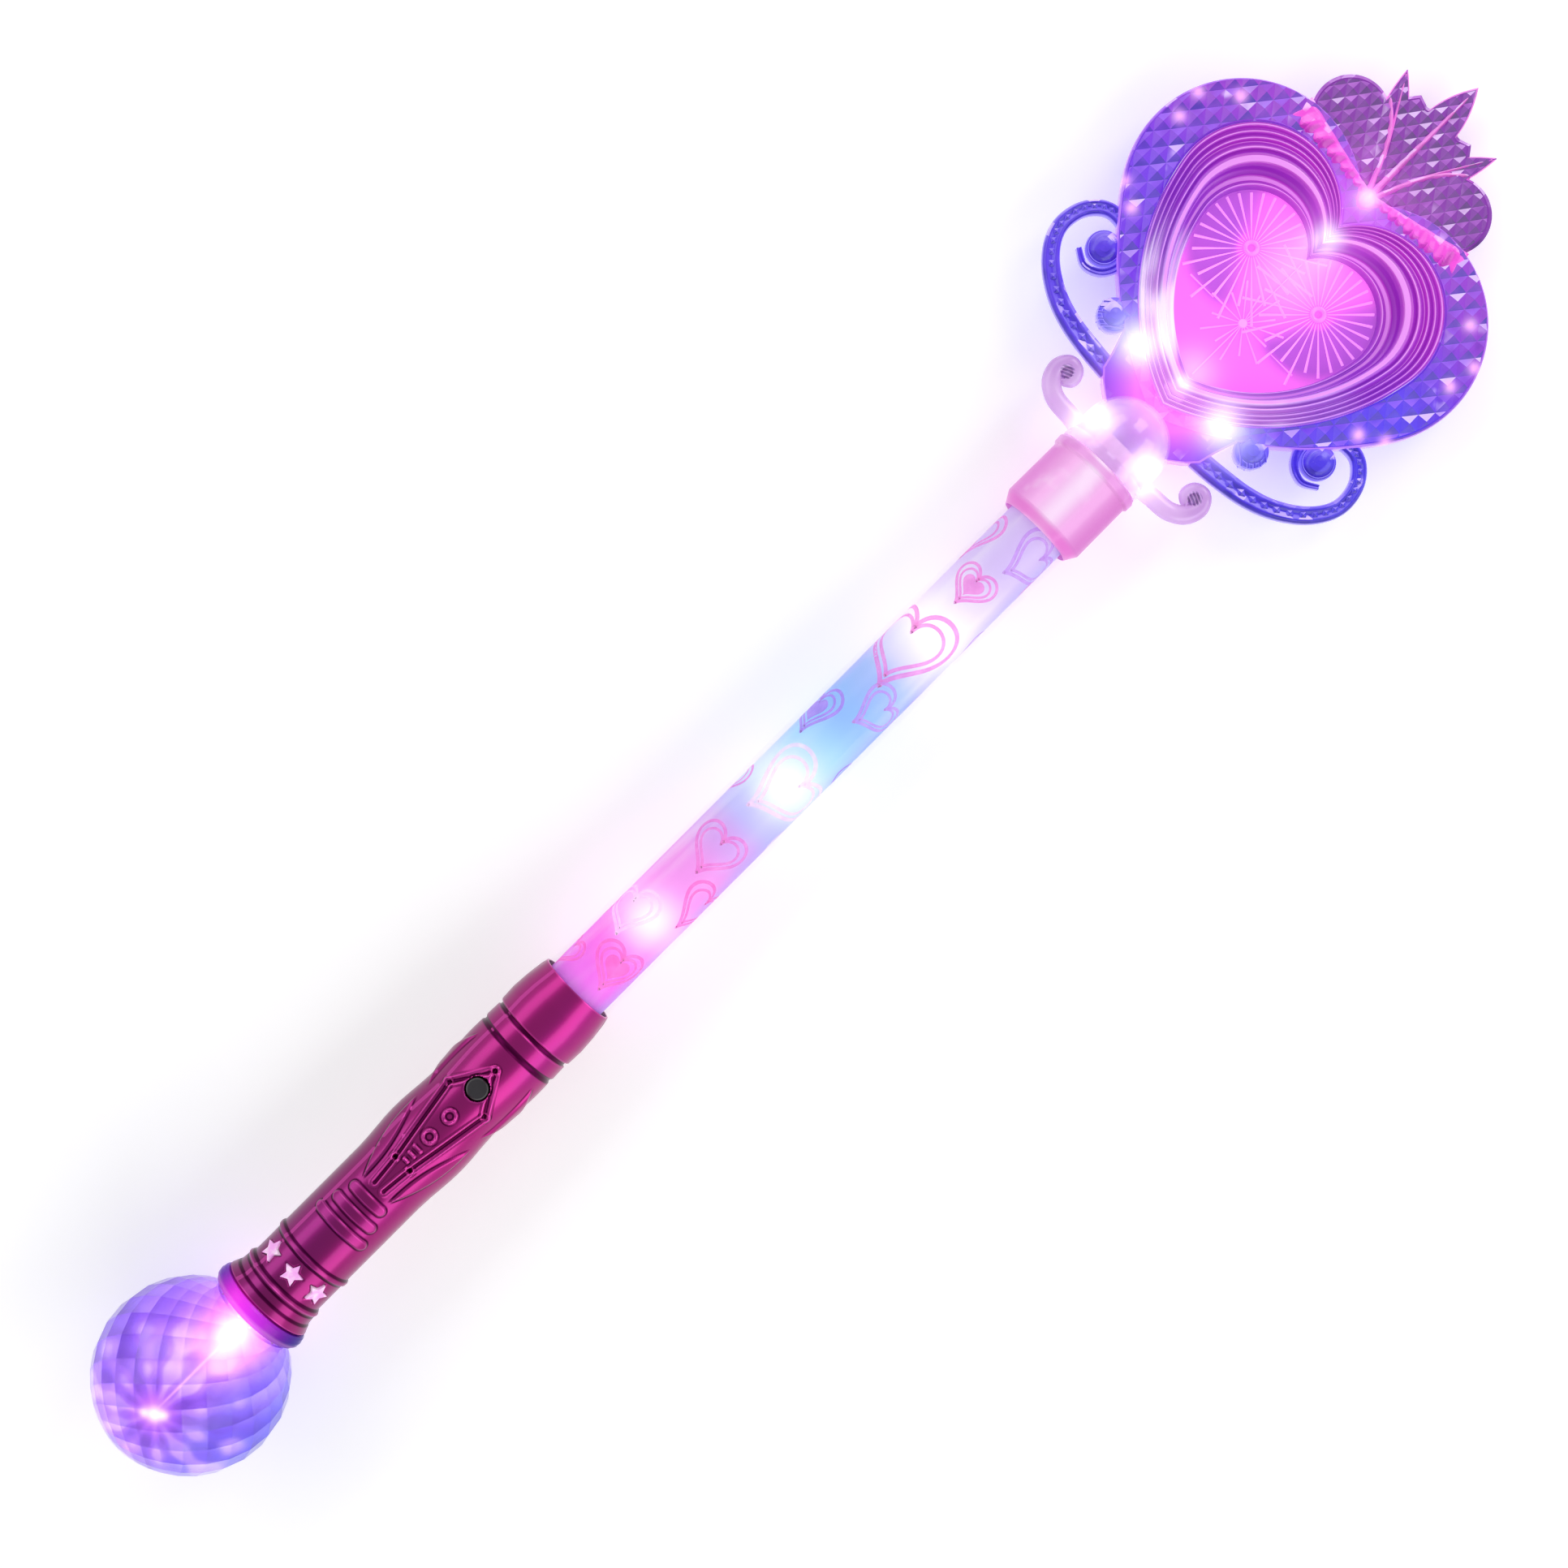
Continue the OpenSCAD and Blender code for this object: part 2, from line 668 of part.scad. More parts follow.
module plate_contact() {
  color("#c9a34a")
    placed()
      block(bay_x0 + 0.02, bay_x0 + 0.45, 3.6, cell_z - 2.4, cell_z + 4.2);
}

module leaf_contact() {
  color("#c9a34a")
    placed()
      translate([0, 2.5, 0])
        rotate([90, 0, 0])
          linear_extrude(5)
            polygon([[bay_x1 - 0.05, cell_z - 2.4], [bay_x1 - 0.05, cell_z + 4.2], [bay_x1 - 0.4,
              cell_z + 4.2],
              [bay_x1 - 0.4, cell_z + 2], [cells_x1 + 0.05, cell_z + 0.4], [cells_x1 + 0.05, cell_z - 0.4],
              [bay_x1 - 0.4, cell_z - 2]]);
}

module power_button() {
  color("#141216")
    placed()
      translate([button_x, 0, 0])
        rotate_extrude()
          polygon([[0, plunger_top], [flange_r, plunger_top], [flange_r, flange_top], [button_r,
            flange_top],
            [button_r, grip_at(button_x) + button_proud - 0.35],
            [button_r - 0.35, grip_at(button_x) + button_proud], [0, grip_at(button_x) + button_proud]]);
}

module switch_plunger() {
  color("#d8d8d8")
    placed()
      z_rod(button_x, board_top + button_travel + 0.05, plunger_top, 1.3);
}

module switch_housing() {
  color("#3a3a40")
    placed()
      difference() {
        translate([button_x, 0, 0])
          block(-switch_side / 2, switch_side / 2, switch_side / 2, board_top, housing_top);
        z_rod(button_x, board_top - 1, housing_top + 1, 1.3 + run_gap);
      }
}

module control_board() {
  y = sqrt((cavity_r - 0.2) * (cavity_r - 0.2) - board_top * board_top);
  color("#2f7d4f")
    placed()
      difference() {
        block(board_x0, board_x1, y, board_z, board_top);
        for (sx = [board_x0 + 6.5, board_x1 - 5.5])
          z_rod(sx, board_z - 1, board_top + 1, 0.8, 4);
      }
}

// Leads run in pairs along the inside of the handle, clear of the screw bosses
lead_r = 0.6;

module lead_pair(path) {
  for (s = [-1, 1])
    rod([for (p = curve(path, 2)) [p[0], s * p[1], p[2], lead_r]]);
}

module ball_leads() {
  z = board_top + lead_r + 0.02;
  color("#c23a3a")
    placed()
      lead_pair([[ball_board_x + 0.1, ball_lead_y, ball_lead_z], [star_x, ball_lead_y, ball_lead_z],
        [bay_x0, 5.2, 5.5], [bay_x1 + 10,
        5.2, 5.5],
        [board_x0 - 6, 5, z], [board_x0 + 5, 5, z]]);
}

module tube_leads() {
  z = board_top + lead_r + 0.02;
  color("#c23a3a")
    placed()
      lead_pair([[board_x1 - 4, 5, z], [board_x1 + 2, 5.1, z], [board_x1 + 8, 4.6, z - 1.6],
        [tube_x0 + 3, 4, lead_r + 0.4], [tube_x0 + 9, 4, lead_r + 0.02]]);
}

tail_x0 = collar_x + 7.4;
head_board_z = 0.75;

module head_leads() {
  color("#c23a3a")
    placed()
      lead_pair([[tube_x1 - 8, 3, lead_r + 0.02], [tube_x1, 3, lead_r + 0.1], [collar_x + 3, 2.2, 1.3],
        [tail_x0 + 1, 1.8, head_board_z + lead_r + 0.02], [tail_x0 + 4, 1.8,
          head_board_z + lead_r + 0.02]]);
}

module light_tube() {
  color("#f0d8f8")
    placed()
      difference() {
        x_rod(tube_x0, tube_x1, tube_r);
        x_rod(tube_x0 - 1, tube_x1 + 1, tube_r - tube_wall);
      }
}

module printed_film() {
  color("#f7b6ee")
    placed()
      difference() {
        x_rod(tube_x0 + 1, tube_x1 - 1, film_r);
        x_rod(tube_x0, tube_x1, film_r - film_t);
      }
}

module tube_light_strip() {
  color("#f4f4ee")
    placed()
      block(tube_x0 + 2, tube_x1 - 2, strip_w / 2, -board_t, 0);
}

module tube_lights() {
  color("#fffaff")
    placed()
      for (x = light_x) {
        z_rod(x, 0, 3, 2.5);
        translate([x, 0, 3])
          sphere(r = 2.5);
        z_rod(x, 0, 0.9, 2.9);
      }
}

module tube_ferrule() {
  r = ferrule_r;
  color("#f19ae0")
    placed()
      turn([[ferrule_x, tube_r + 0.35], [ferrule_x + 0.5, tube_r + 0.6], [ferrule_x + 3, r],
        [collar_x - 3.2, r - 0.1],
        [collar_x - 2.6, r + 0.45], [collar_x - 0.8, r + 0.55], [collar_x - 0.1, r + 0.1],
          [collar_x - 0.1, spigot2_r],
        [collar_x + 6.4, spigot2_r], [collar_x + 6.4, spigot2_r - 1.6], [tube_x1 + 0.2, tube_r - tube_wall],
        [tube_x1 + 0.2, socket_r], [ferrule_x, socket_r]]);
}

// Foot of the heart that plugs into the collar, with the shoulders that carry the scroll arms
foot_half = [[collar_x + 6.6, 8.4], [collar_x + 11.5, 8.8], [collar_x + 13, 11], [collar_x + 15.4, 14.2],
  [collar_x + 18, 16.6], [collar_x + 22, 17.6], [collar_x + 28, 19.6], [collar_x + 34, 25]];

module heart_foot() {
  polygon(concat(foot_half, turned(foot_half)));
}

horn_path = [[10.2, 3.6, 0, 0.5], [14, 4.2, 0, 0.5], [19.4, 4.7, 0, 0.5], [23.2, 7, 0, 0.48], [24.6,
  10.6, 0, 0.44],
  [23, 13.4, 0, 0.4], [20.4, 13, 0, 0.36], [19.6, 10.6, 0, 0.33], [21.2, 9.2, 0, 0.3]];

module collar_horns() {
  for (s = [-1, 1])
    rod([for (p = curve(horn_path, 2)) [collar_x + p[1], s * p[0], p[2], p[3] * horn_t]], 8);
}

module head_collar() {
  dome = 11;
  steps = 8;
  w = collar_wall;
  d0 = collar_x + collar_len - dome;
  function dome_arc(r, h) = [for (i = [0:steps]) let (a = 90 * i / steps) [d0 + h * sin(a), r * cos(a)]];
  inside = dome_arc(collar_r - w, dome - w);
  color("#e6d3f2")
    placed()
      difference() {
        union() {
          turn(concat([[collar_x, spigot2_r + 0.1], [collar_x, collar_r + 0.3], [collar_x + 2.4,
            collar_r + 0.4],
            [collar_x + 3, collar_r]], dome_arc(collar_r, dome), [for (i = [steps:-1:0]) inside[i]],
            [[collar_x + 7.2, collar_r - w], [collar_x + 7.2, spigot2_r + 0.1]]));
          collar_horns();
        }
        x_rod(collar_x - 1, collar_x + 7.2, spigot2_r + 0.12);
        translate([0, 0, -frame_z - slip])
          linear_extrude(2 * (frame_z + slip))
            offset(delta = slip)
              intersection() {
                heart_foot();
                translate([collar_x + 9, -12])
                  square([40, 24]);
              }
      }
}

// Outlines of the heart mouldings, all seen from the front
module frame_heart() {
  translate([lobe_x, 0])
    polygon(whole_heart(frame_half));
}

module bezel_heart(k) {
  translate([lobe_x, 0])
    polygon([for (p = bezel_path) shrink(p, k)]);
}

crown_x = lobe_x + notch_x;
petal_c = [crown_x + 14.2, 17.5];
leaf_tip = [crown_x + 31.9, 15.5];

module crown_fan() {
  polygon(concat(leaf([crown_x + leaf_rise - 29.4, 0], [crown_x + leaf_rise, 0], 4.8, 4.8, 8)));
  for (s = [-1, 1]) {
    translate([petal_c[0], s * petal_c[1]])
      circle(r = petal_r, $fn = 28);
    polygon(leaf([crown_x + 5, s * 1], [leaf_tip[0], s * leaf_tip[1]], s * 3.6, s * 3.4, 10));
    polygon([[crown_x - 6, 0], [crown_x + 6, s * 26], [crown_x + 10, s * 27], [crown_x + 14, s * 20],
      [crown_x + 23.4, s * 13.4], [crown_x + 29.6, s * 8.6], [crown_x + 28.6, s * 5.6], [crown_x + 28.8,
        s * 4.2],
      [crown_x + 28.8, 0]]);
  }
}

// Quilt of four sided diamonds as one height field: peaks and valleys take turns on a grid of half cells
module cut_diamonds(x0, x1, y, w, l, h, z) {
  m = 2 * ceil((x1 - x0) / l);
  n = 2 * ceil(2 * y / w);
  function at(i, j) = i * (n + 1) + j;
  low = (m + 1) * (n + 1);
  grid = [for (i = [0:m]) for (j = [0:n]) [x0 + i * l / 2, (j - n / 2) * w / 2, z + ((i + j) % 2 ? 0 : h)]];
  floor_corners = [[x0, -n * w / 4, z - 1], [x0, n * w / 4, z - 1],
    [x0 + m * l / 2, n * w / 4, z - 1], [x0 + m * l / 2, -n * w / 4, z - 1]];
  tops = [for (i = [0:m - 1]) for (j = [0:n - 1]) each ((i + j) % 2 ?
    [[at(i, j), at(i, j + 1), at(i + 1, j + 1)], [at(i, j), at(i + 1, j + 1), at(i + 1, j)]] :
    [[at(i, j), at(i, j + 1), at(i + 1, j)], [at(i, j + 1), at(i + 1, j + 1), at(i + 1, j)]])];
  sides = [concat([for (j = [n:-1:0]) at(0, j)], [low, low + 1]),
    concat([for (j = [0:n]) at(m, j)], [low + 2, low + 3]),
    concat([for (i = [0:m]) at(i, 0)], [low + 3, low]),
    concat([for (i = [m:-1:0]) at(i, n)], [low + 1, low + 2]),
    [low + 3, low + 2, low + 1, low]];
  polyhedron(concat(grid, floor_corners), concat(tops, sides), convexity = 20);
}

// Outline of a bead, grown sideways, to keep the quilt off it
module bead_outline(path, grow) {
  xy = [for (p = path) [p[0], p[1]]];
  n = len(path);
  function past(i) = i == 0 ? -grow : i == n - 1 ? grow : 0;
  function edge(i, s) = let (t = along(xy, i)) xy[i] + past(i) * t + s * (path[i][2] + grow) * [-t[1],
    t[0]];
  polygon(concat([for (i = [0:n - 1]) edge(i, 1)], [for (i = [n - 1:-1:0]) edge(i, -1)]));
}

arm_path = [[15, 18.6, 1, 1], [22, 19.2, 1, 1], [30, 20.4, 0.96, 1], [37, 22.8, 0.9, 1], [43.4, 27,
  0.84, 1],
  [47.4, 32, 0.78, 1], [48.6, 37, 0.74, 1], [47.2, 42.4, 0.72, 1], [43.4, 46.2, 0.7, 1], [38.6, 46.6,
    0.66, 1],
  [33.4, 44, 0.56, 0.95], [31.4, 39, 0.46, 0.9], [33.2, 34.4, 0.4, 0.9], [37.4, 32.6, 0.34, 0.85],
  [41.4, 34.6, 0.28, 0.8]];
volute_x = 38.8;
volute_c = [side_edge(volute_x - heart_rise) + volute_r * 0.9, volute_x];
bud_r = 4.4;
bud_x = 29;
bud_c = [side_edge(bud_x - heart_rise) + 2.5, bud_x];
arm_k = volute_c[0] / 37;

module scroll_arms() {
  for (s = [-1, 1]) {
    bead([for (p = curve(arm_path, 2)) [collar_x + p[1], s * arm_k * p[0], p[2] * arm_w / 2,
      p[3] * arm_z]], 3);
    dome_knob(collar_x + volute_c[1], s * volute_c[0], volute_r, 4);
    dome_knob(collar_x + bud_c[1], s * bud_c[0], bud_r, frame_z + 1);
  }
}

// Knob that is round from the front and flattened toward the seam
module dome_knob(x, y, r, z) {
  translate([x, y, 0])
    hull()
      rotate_extrude($fn = 13)
        polygon(concat([[0, 0]], [for (i = [0:3]) [r * cos(22.5 * i), z * sin(22.5 * i)]], [[0, z]]));
}

// Ribs of the crown and the ruffled trims that run out from its hub
mid_rib = [[1.5, 0, 1.3, 3.6], [18, 0, 0.95, 3.2], [30, 0, 0.7, 3], [leaf_rise - 2.5, 0, 0.4, 2.6]];
side_rib = [[2.6, 0.7, 1, 3.4], [10.8, 4, 0.9, 3.2], [16.4, 6.9, 0.85, 3.1], [20.6, 10.2, 0.8, 3],
  [23.8, 13.8, 0.7, 2.6]];
leaf_rib = [[12, 4, 0.5, 2.8], [20, 8.6, 0.5, 2.8], [30.4, 14.8, 0.35, 2.5]];

function placed_rib(path, s, steps) =
  [for (p = curve(path, steps)) [crown_x + p[0], s * p[1], p[2], p[3] + crown_z - 2]];

module crown_ribs() {
  bead(placed_rib(mid_rib, 1, 2), 3);
  for (s = [-1, 1])
    for (path = [side_rib, leaf_rib])
      bead(placed_rib(path, s, 2), 3);
}

function ruffle(s) = concat(
  [for (i = [0:10]) let (t = i / 10) [crown_x + 3.6 + 6.2 * t, s * (1 + 26 * t)]],
  [for (i = [10:-1:0]) let (t = i / 10)
    [crown_x + 0.4 + 9 * t - 1.1 * (i % 2) - 2.8 * sin(180 * t), s * (1 + 26 * t)]]);

hub_r = 3.1;
valley_z = 0.17;
hub_x = crown_x + 1.4;

// Everything that stands on the mouldings, which the quilt leaves free
module quilt_gaps() {
  bezel_heart(1.03);
  bead_outline(placed_rib(mid_rib, 1, 2), 0.3);
  translate([hub_x, 0])
    circle(r = hub_r + 0.3, $fn = 20);
  for (s = [-1, 1]) {
    offset(delta = 0.25)
      polygon(ruffle(s));
    bead_outline(placed_rib(side_rib, s, 2), 0.3);
    bead_outline(placed_rib(leaf_rib, s, 2), 0.3);
    translate([collar_x + volute_c[1], s * volute_c[0]])
      circle(r = volute_r + 3.6, $fn = 24);
    translate([collar_x + bud_c[1], s * bud_c[0]])
      circle(r = bud_r + 0.4, $fn = 20);
  }
}

module head_half() {
  difference() {
    union() {
      linear_extrude(frame_z) {
        frame_heart();
        heart_foot();
      }
      linear_extrude(crown_z)
        crown_fan();
      intersection() {
        cut_diamonds(lobe_x + frame_tip_x + 12, lobe_x + frame_lobe_r + 4, frame_lobe_y + frame_lobe_r,
          diamond_w, diamond_l, diamond_h, frame_z + valley_z);
        linear_extrude(frame_z + 3)
          difference() {
            offset(delta = -1.3)
              frame_heart();
            quilt_gaps();
          }
      }
      intersection() {
        cut_diamonds(crown_x + 4.7, crown_x + leaf_rise, 28, diamond_w * 0.9, diamond_l * 0.86,
          diamond_h * 0.8, crown_z + valley_z);
        linear_extrude(crown_z + 3)
          difference() {
            offset(delta = -0.8)
              crown_fan();
            offset(delta = 0.25)
              frame_heart();
            quilt_gaps();
          }
      }
      crown_ribs();
      for (s = [-1, 1])
        linear_extrude(frame_z + 1)
          polygon(ruffle(s));
      dome_knob(hub_x, 0, hub_r, frame_z + 2);
      scroll_arms();
    }
    translate([0, 0, -1])
      linear_extrude(frame_z - frame_wall + 1)
        offset(delta = -frame_wall)
          union() {
            frame_heart();
            heart_foot();
          }
    translate([0, 0, -1])
      linear_extrude(crest_z)
        bezel_heart(1.006);
    translate([collar_x, 0, -1])
      linear_extrude(frame_z - frame_wall + 1)
        square([18, 8], center = true);
  }
  for (s = [-1, 1])
    for (p = peg_at)
      peg(lobe_x + p[0], s * p[1]);
}

// Pegs stand inside the rim, a named distance from the outline
peg_in = 4.1;
peg_x = [frame_lobe_r * 0.51, -frame_lobe_r * 0.567, -frame_lobe_r * 0.853];
peg_at = [[peg_x[0], lobe_edge(peg_x[0]) - peg_in], for (i = [1, 2]) [peg_x[i],
  side_edge(peg_x[i]) - peg_in]];

// Peg that joins the two mouldings, thicker where it leaves the face
module peg(x, y) {
  translate([x, y, 0])
    hull() {
      cylinder(r = 1.6, h = 0.2, $fn = 8);
      translate([0, 0, frame_z - frame_wall])
        cylinder(r = 2, h = 0.3, $fn = 8);
    }
}

module head_front_shell() {
  color("#7650c4")
    placed()
      translate([0, 0, seam / 2])
        head_half();
}

module head_back_shell() {
  color("#6a49b6")
    placed()
      mirror([0, 0, 1])
        translate([0, 0, seam / 2])
          head_half();
}

// Bezel section as [share of the heart outline, height], from the hidden flange over the ridges to the crest
rise = crest_z - 9;
flange_z = frame_z - frame_wall - 0.1;
bezel_section = [[0.975, 1], [1.045, 1], [1.045, flange_z], [1, flange_z], [1, frame_z + 1],
  [0.982, frame_z + 1.6], [0.962, frame_z + 1.2], [0.936, 6.2 + rise], [0.912, 5.8 + rise],
  [0.862, 7.9 + rise], [0.838, 7.6 + rise], [crest_k[0], crest_z], [crest_k[1], crest_z],
  [panel_k + 0.006, frame_z + 1], [panel_k, 1.85], [0.79, 1.85], [0.815, 7.2 + rise], [0.9, 5.2 + rise],
    [0.972, 2.6]];

module bezel() {
  m = len(bezel_section);
  n = len(bezel_path);
  points = [for (p = bezel_path) for (q = bezel_section) let (s = shrink(p, q[0])) [lobe_x + s[0], s[1],
    q[1]]];
  polyhedron(points, [for (i = [0:n - 1]) for (j = [0:m - 1])
    let (a = i * m + j, b = i * m + (j + 1) % m, c = ((i + 1) % n) * m + (j + 1) % m,
      d = ((i + 1) % n) * m + j)
    each [[a, b, c], [a, c, d]]], convexity = 10);
}

module front_bezel() {
  color("#c04fd0")
    placed()
      bezel();
}

module back_bezel() {
  color("#b045c0")
    placed()
      mirror([0, 0, 1])
        bezel();
}

// Heart panel with two large starbursts and a small one
burst_r = bezel_lobe_r * 0.643;
hub_c = [for (p = [[-0.3333, 0.5476], [-0.3333, -0.5476], [-1.024, 0]]) [lobe_x, 0] + bezel_lobe_r * p];
panel_z = 2.7;

module burst(c, count, r0, r1) {
  for (i = [0:count - 1])
    translate([c[0], c[1], panel_z - 0.3])
      rotate([0, 0, 360 * (i + 0.5) / count])
        hull()
          polyhedron([[r0, -0.16, 0], [r0, 0.16, 0], [r1, 0.5, 0], [r1, -0.5, 0], [r0, 0, 0.9], [r1, 0,
            0.8]],
            [[0, 1, 2], [3, 4, 5]]);
}

module panel() {
  union() {
    translate([0, 0, 0.95])
      linear_extrude(0.8)
        bezel_heart(panel_k + 0.035);
    translate([0, 0, 0.95])
      linear_extrude(panel_z - 0.95)
        bezel_heart(panel_k - 0.01);
    intersection() {
      union() {
        burst(hub_c[0], burst_ribs, 1.5, burst_r);
        burst(hub_c[1], burst_ribs, 1.5, burst_r);
        burst(hub_c[2], 8, 1.1, burst_r * 0.667);
      }
      linear_extrude(panel_z + 2)
        bezel_heart(panel_k - 0.06);
    }
    for (i = [0, 1])
      translate([hub_c[i][0], hub_c[i][1], panel_z - 0.2])
        rotate_extrude($fn = 14)
          polygon([[0.7, 0], [1.9, 0], [1.6, 1], [1, 1]]);
  }
}

module front_panel() {
  color("#f56df0")
    placed()
      panel();
}

module back_panel() {
  color("#f56df0")
    placed()
      mirror([0, 0, 1])
        panel();
}

// Light board between the panels: a spine from the collar to the crown's hub and a bar across the foot
side_light = [collar_x + 24.6, 12.6];
head_light_at = [[lobe_x + notch_x - 5.2, 0], [lobe_x + 7.5, 0], [lobe_x + bezel_tip_x + 7.5, 0],
  [side_light[0], side_light[1]], [side_light[0], -side_light[1]]];

module head_light_board() {
  color("#e8e8e0")
    placed()
      translate([0, 0, -head_board_z])
        linear_extrude(2 * head_board_z)
          union() {
            translate([tail_x0, -3])
              square([lobe_x + notch_x - 3.4 - tail_x0, 6]);
            translate([side_light[0] - 2.2, -side_light[1] - 2.2])
              square([4.4, 2 * side_light[1] + 4.4]);
          }
}

module head_lights() {
  color("#fff6ff")
    placed()
      for (p = head_light_at)
        for (s = [-1, 1])
          translate([p[0] - 1.4, p[1] - 1.6, s > 0 ? head_board_z : -head_board_z - 0.18])
            cube([2.8, 3.2, 0.18]);
}

crystal_ball();
ball_ring();
ball_light_board();
ball_light();
star_lens_ring();
handle_front_shell();
handle_back_shell();
handle_screws();
battery_door();
battery_door_screw();
battery_tray();
button_cells();
plate_contact();
leaf_contact();
power_button();
switch_plunger();
switch_housing();
control_board();
ball_leads();
tube_leads();
head_leads();
light_tube();
printed_film();
tube_light_strip();
tube_lights();
tube_ferrule();
head_collar();
head_front_shell();
head_back_shell();
front_bezel();
back_bezel();
front_panel();
back_panel();
head_light_board();
head_lights();
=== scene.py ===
"""Looks of a toy magic wand: lit heart head, light tube, plated handle and crystal ball, built around its frame."""

import logging
import math
from dataclasses import dataclass
from enum import Enum
from functools import lru_cache
from typing import Any, Callable, Dict, List, Optional, Sequence, Tuple, Union

import bmesh
import bpy
import numpy as np
from mathutils import Matrix, Vector


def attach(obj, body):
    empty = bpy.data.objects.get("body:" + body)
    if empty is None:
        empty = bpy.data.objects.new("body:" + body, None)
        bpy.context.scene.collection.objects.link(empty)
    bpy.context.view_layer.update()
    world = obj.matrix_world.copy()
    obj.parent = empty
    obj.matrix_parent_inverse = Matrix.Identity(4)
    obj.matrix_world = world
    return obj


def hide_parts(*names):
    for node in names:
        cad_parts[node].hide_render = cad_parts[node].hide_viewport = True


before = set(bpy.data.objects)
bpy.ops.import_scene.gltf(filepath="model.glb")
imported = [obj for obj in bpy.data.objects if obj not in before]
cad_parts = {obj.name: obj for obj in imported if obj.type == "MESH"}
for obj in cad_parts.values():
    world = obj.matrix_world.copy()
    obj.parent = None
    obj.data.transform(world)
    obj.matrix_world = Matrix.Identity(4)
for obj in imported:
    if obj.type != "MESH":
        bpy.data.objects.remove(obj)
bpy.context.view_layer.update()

log = logging.getLogger("wand")

Colour = Tuple[float, float, float, float]
Point = Tuple[float, float]
Faces = List[Tuple[int, ...]]
Mesh = Tuple[np.ndarray, Faces]

WHITE = "#ffffff"
BLACK = "#000000"


def tint(code: str) -> Colour:
    """Turns a colour code such as #aa33cc into a linear colour."""
    parts = [int(code[i:i + 2], 16) / 255 for i in (1, 3, 5)]
    return tuple(p / 12.92 if p <= 0.04045 else ((p + 0.055) / 1.055) ** 2.4 for p in parts) + (1.0,)


@dataclass(frozen=True)
class Lie:
    """How the wand lies: millimetres along, across and out of its front, turned into the frame's metres."""

    lean: float = math.radians(2.23632)
    middle: float = 234.527
    ball_r: float = 24.5

    @property
    def lift(self) -> float:
        """Height of the wand's start above the ground, in millimetres."""
        return self.ball_r * (1 + math.sin(self.lean))

    def place(self, points: np.ndarray) -> np.ndarray:
        """Places points of the wand in the frame.

        Args:
            points: rows of millimetres along, across and out of the front.

        Returns:
            Rows of metres in the frame.
        """
        c, s = math.cos(self.lean), math.sin(self.lean)
        x, y, z = np.asarray(points, float).T
        return np.stack([x * c + z * s - self.middle, y, -x * s + z * c + self.lift], 1) / 1000

    def back(self, points: np.ndarray) -> np.ndarray:
        """Turns points of the frame back into the wand's own.

        Args:
            points: rows of metres in the frame.

        Returns:
            Rows of millimetres along, across and out of the front.
        """
        c, s = math.cos(self.lean), math.sin(self.lean)
        x, y, z = (points * 1000 + np.array([self.middle, 0, -self.lift])).T
        return np.stack([x * c - z * s, y, x * s + z * c], 1)

    def turn(self, direction: Sequence[float]) -> Vector:
        """Turns a direction of the wand into the frame."""
        at = self.place(np.array([[0, 0, 0], direction]))
        return Vector(at[1] - at[0]).normalized()


LIE = Lie()


@dataclass(frozen=True)
class Lamp:
    """A light inside the wand, as seen through the plastic over it."""

    along: float
    across: float
    reach: float
    power: float = 1.0
    mirrored: bool = False


HEAD_LAMPS = (Lamp(430, 0, 1.9, 0.8), Lamp(416, 0, 2.4, 1.1), Lamp(366.5, 0, 1.7, 1.0),
              Lamp(366, 13.5, 3.2, 1.1, True), Lamp(344.5, 9.5, 2.8, 0.9, True))
TUBE_LAMPS = (Lamp(183.19, 0.5, 4.8, 0.75), Lamp(229.5, 0.5, 5.6, 0.75), Lamp(280, 0, 7.0, 0.65))


def math_method(kind: str, words: str, swapped: bool = False) -> Callable[..., "Shade"]:
    """Makes a method of Shade that adds one Math node.

    Args:
        kind: the node's operation.
        words: the method's docstring.
        swapped: whether the other value comes first.

    Returns:
        The method.
    """
    def method(self: "Shade", *others: Any) -> "Shade":
        """Adds the node."""
        values = (*others, self) if swapped else (self, *others)
        return self.tree.add("ShaderNodeMath", {"operation": kind}, dict(enumerate(values)))
    method.__doc__ = words
    return method


class Shade:
    """A shader value that adds its own Math nodes when it is used in an expression."""

    def __init__(self, tree: "Shader", socket: Optional[bpy.types.NodeSocket]) -> None:
        """Keeps the socket and the tree that it belongs to."""
        self.tree = tree
        self.socket = socket

    __add__ = __radd__ = math_method("ADD", "Sum.")
    __sub__ = math_method("SUBTRACT", "Difference.")
    __rsub__ = math_method("SUBTRACT", "Difference from a number.", True)
    __mul__ = __rmul__ = math_method("MULTIPLY", "Product.")
    __truediv__ = math_method("DIVIDE", "Quotient.")
    __rtruediv__ = math_method("DIVIDE", "Quotient of a number.", True)
    __pow__ = math_method("POWER", "Power.")
    abs = math_method("ABSOLUTE", "Size without the sign.")
    exp = math_method("EXPONENT", "Exponential.")
    sin = math_method("SINE", "Sine.")
    floor = math_method("FLOOR", "Whole part.")
    ping = math_method("PINGPONG", "Triangle wave between 0 and a scale.")
    atan2 = math_method("ARCTAN2", "Angle of this over another.")
    least = math_method("MINIMUM", "Smaller of two.")
    most = math_method("MAXIMUM", "Larger of two.")

    def __neg__(self) -> "Shade":
        """Negative."""
        return self * -1.0

    def step(self, low: float, high: float) -> "Shade":
        """Smooth step from 0 at low to 1 at high."""
        settings = {"interpolation_type": "SMOOTHSTEP"}
        return self.tree.add("ShaderNodeMapRange", settings, {0: self, 1: low, 2: high, 3: 0.0, 4: 1.0})


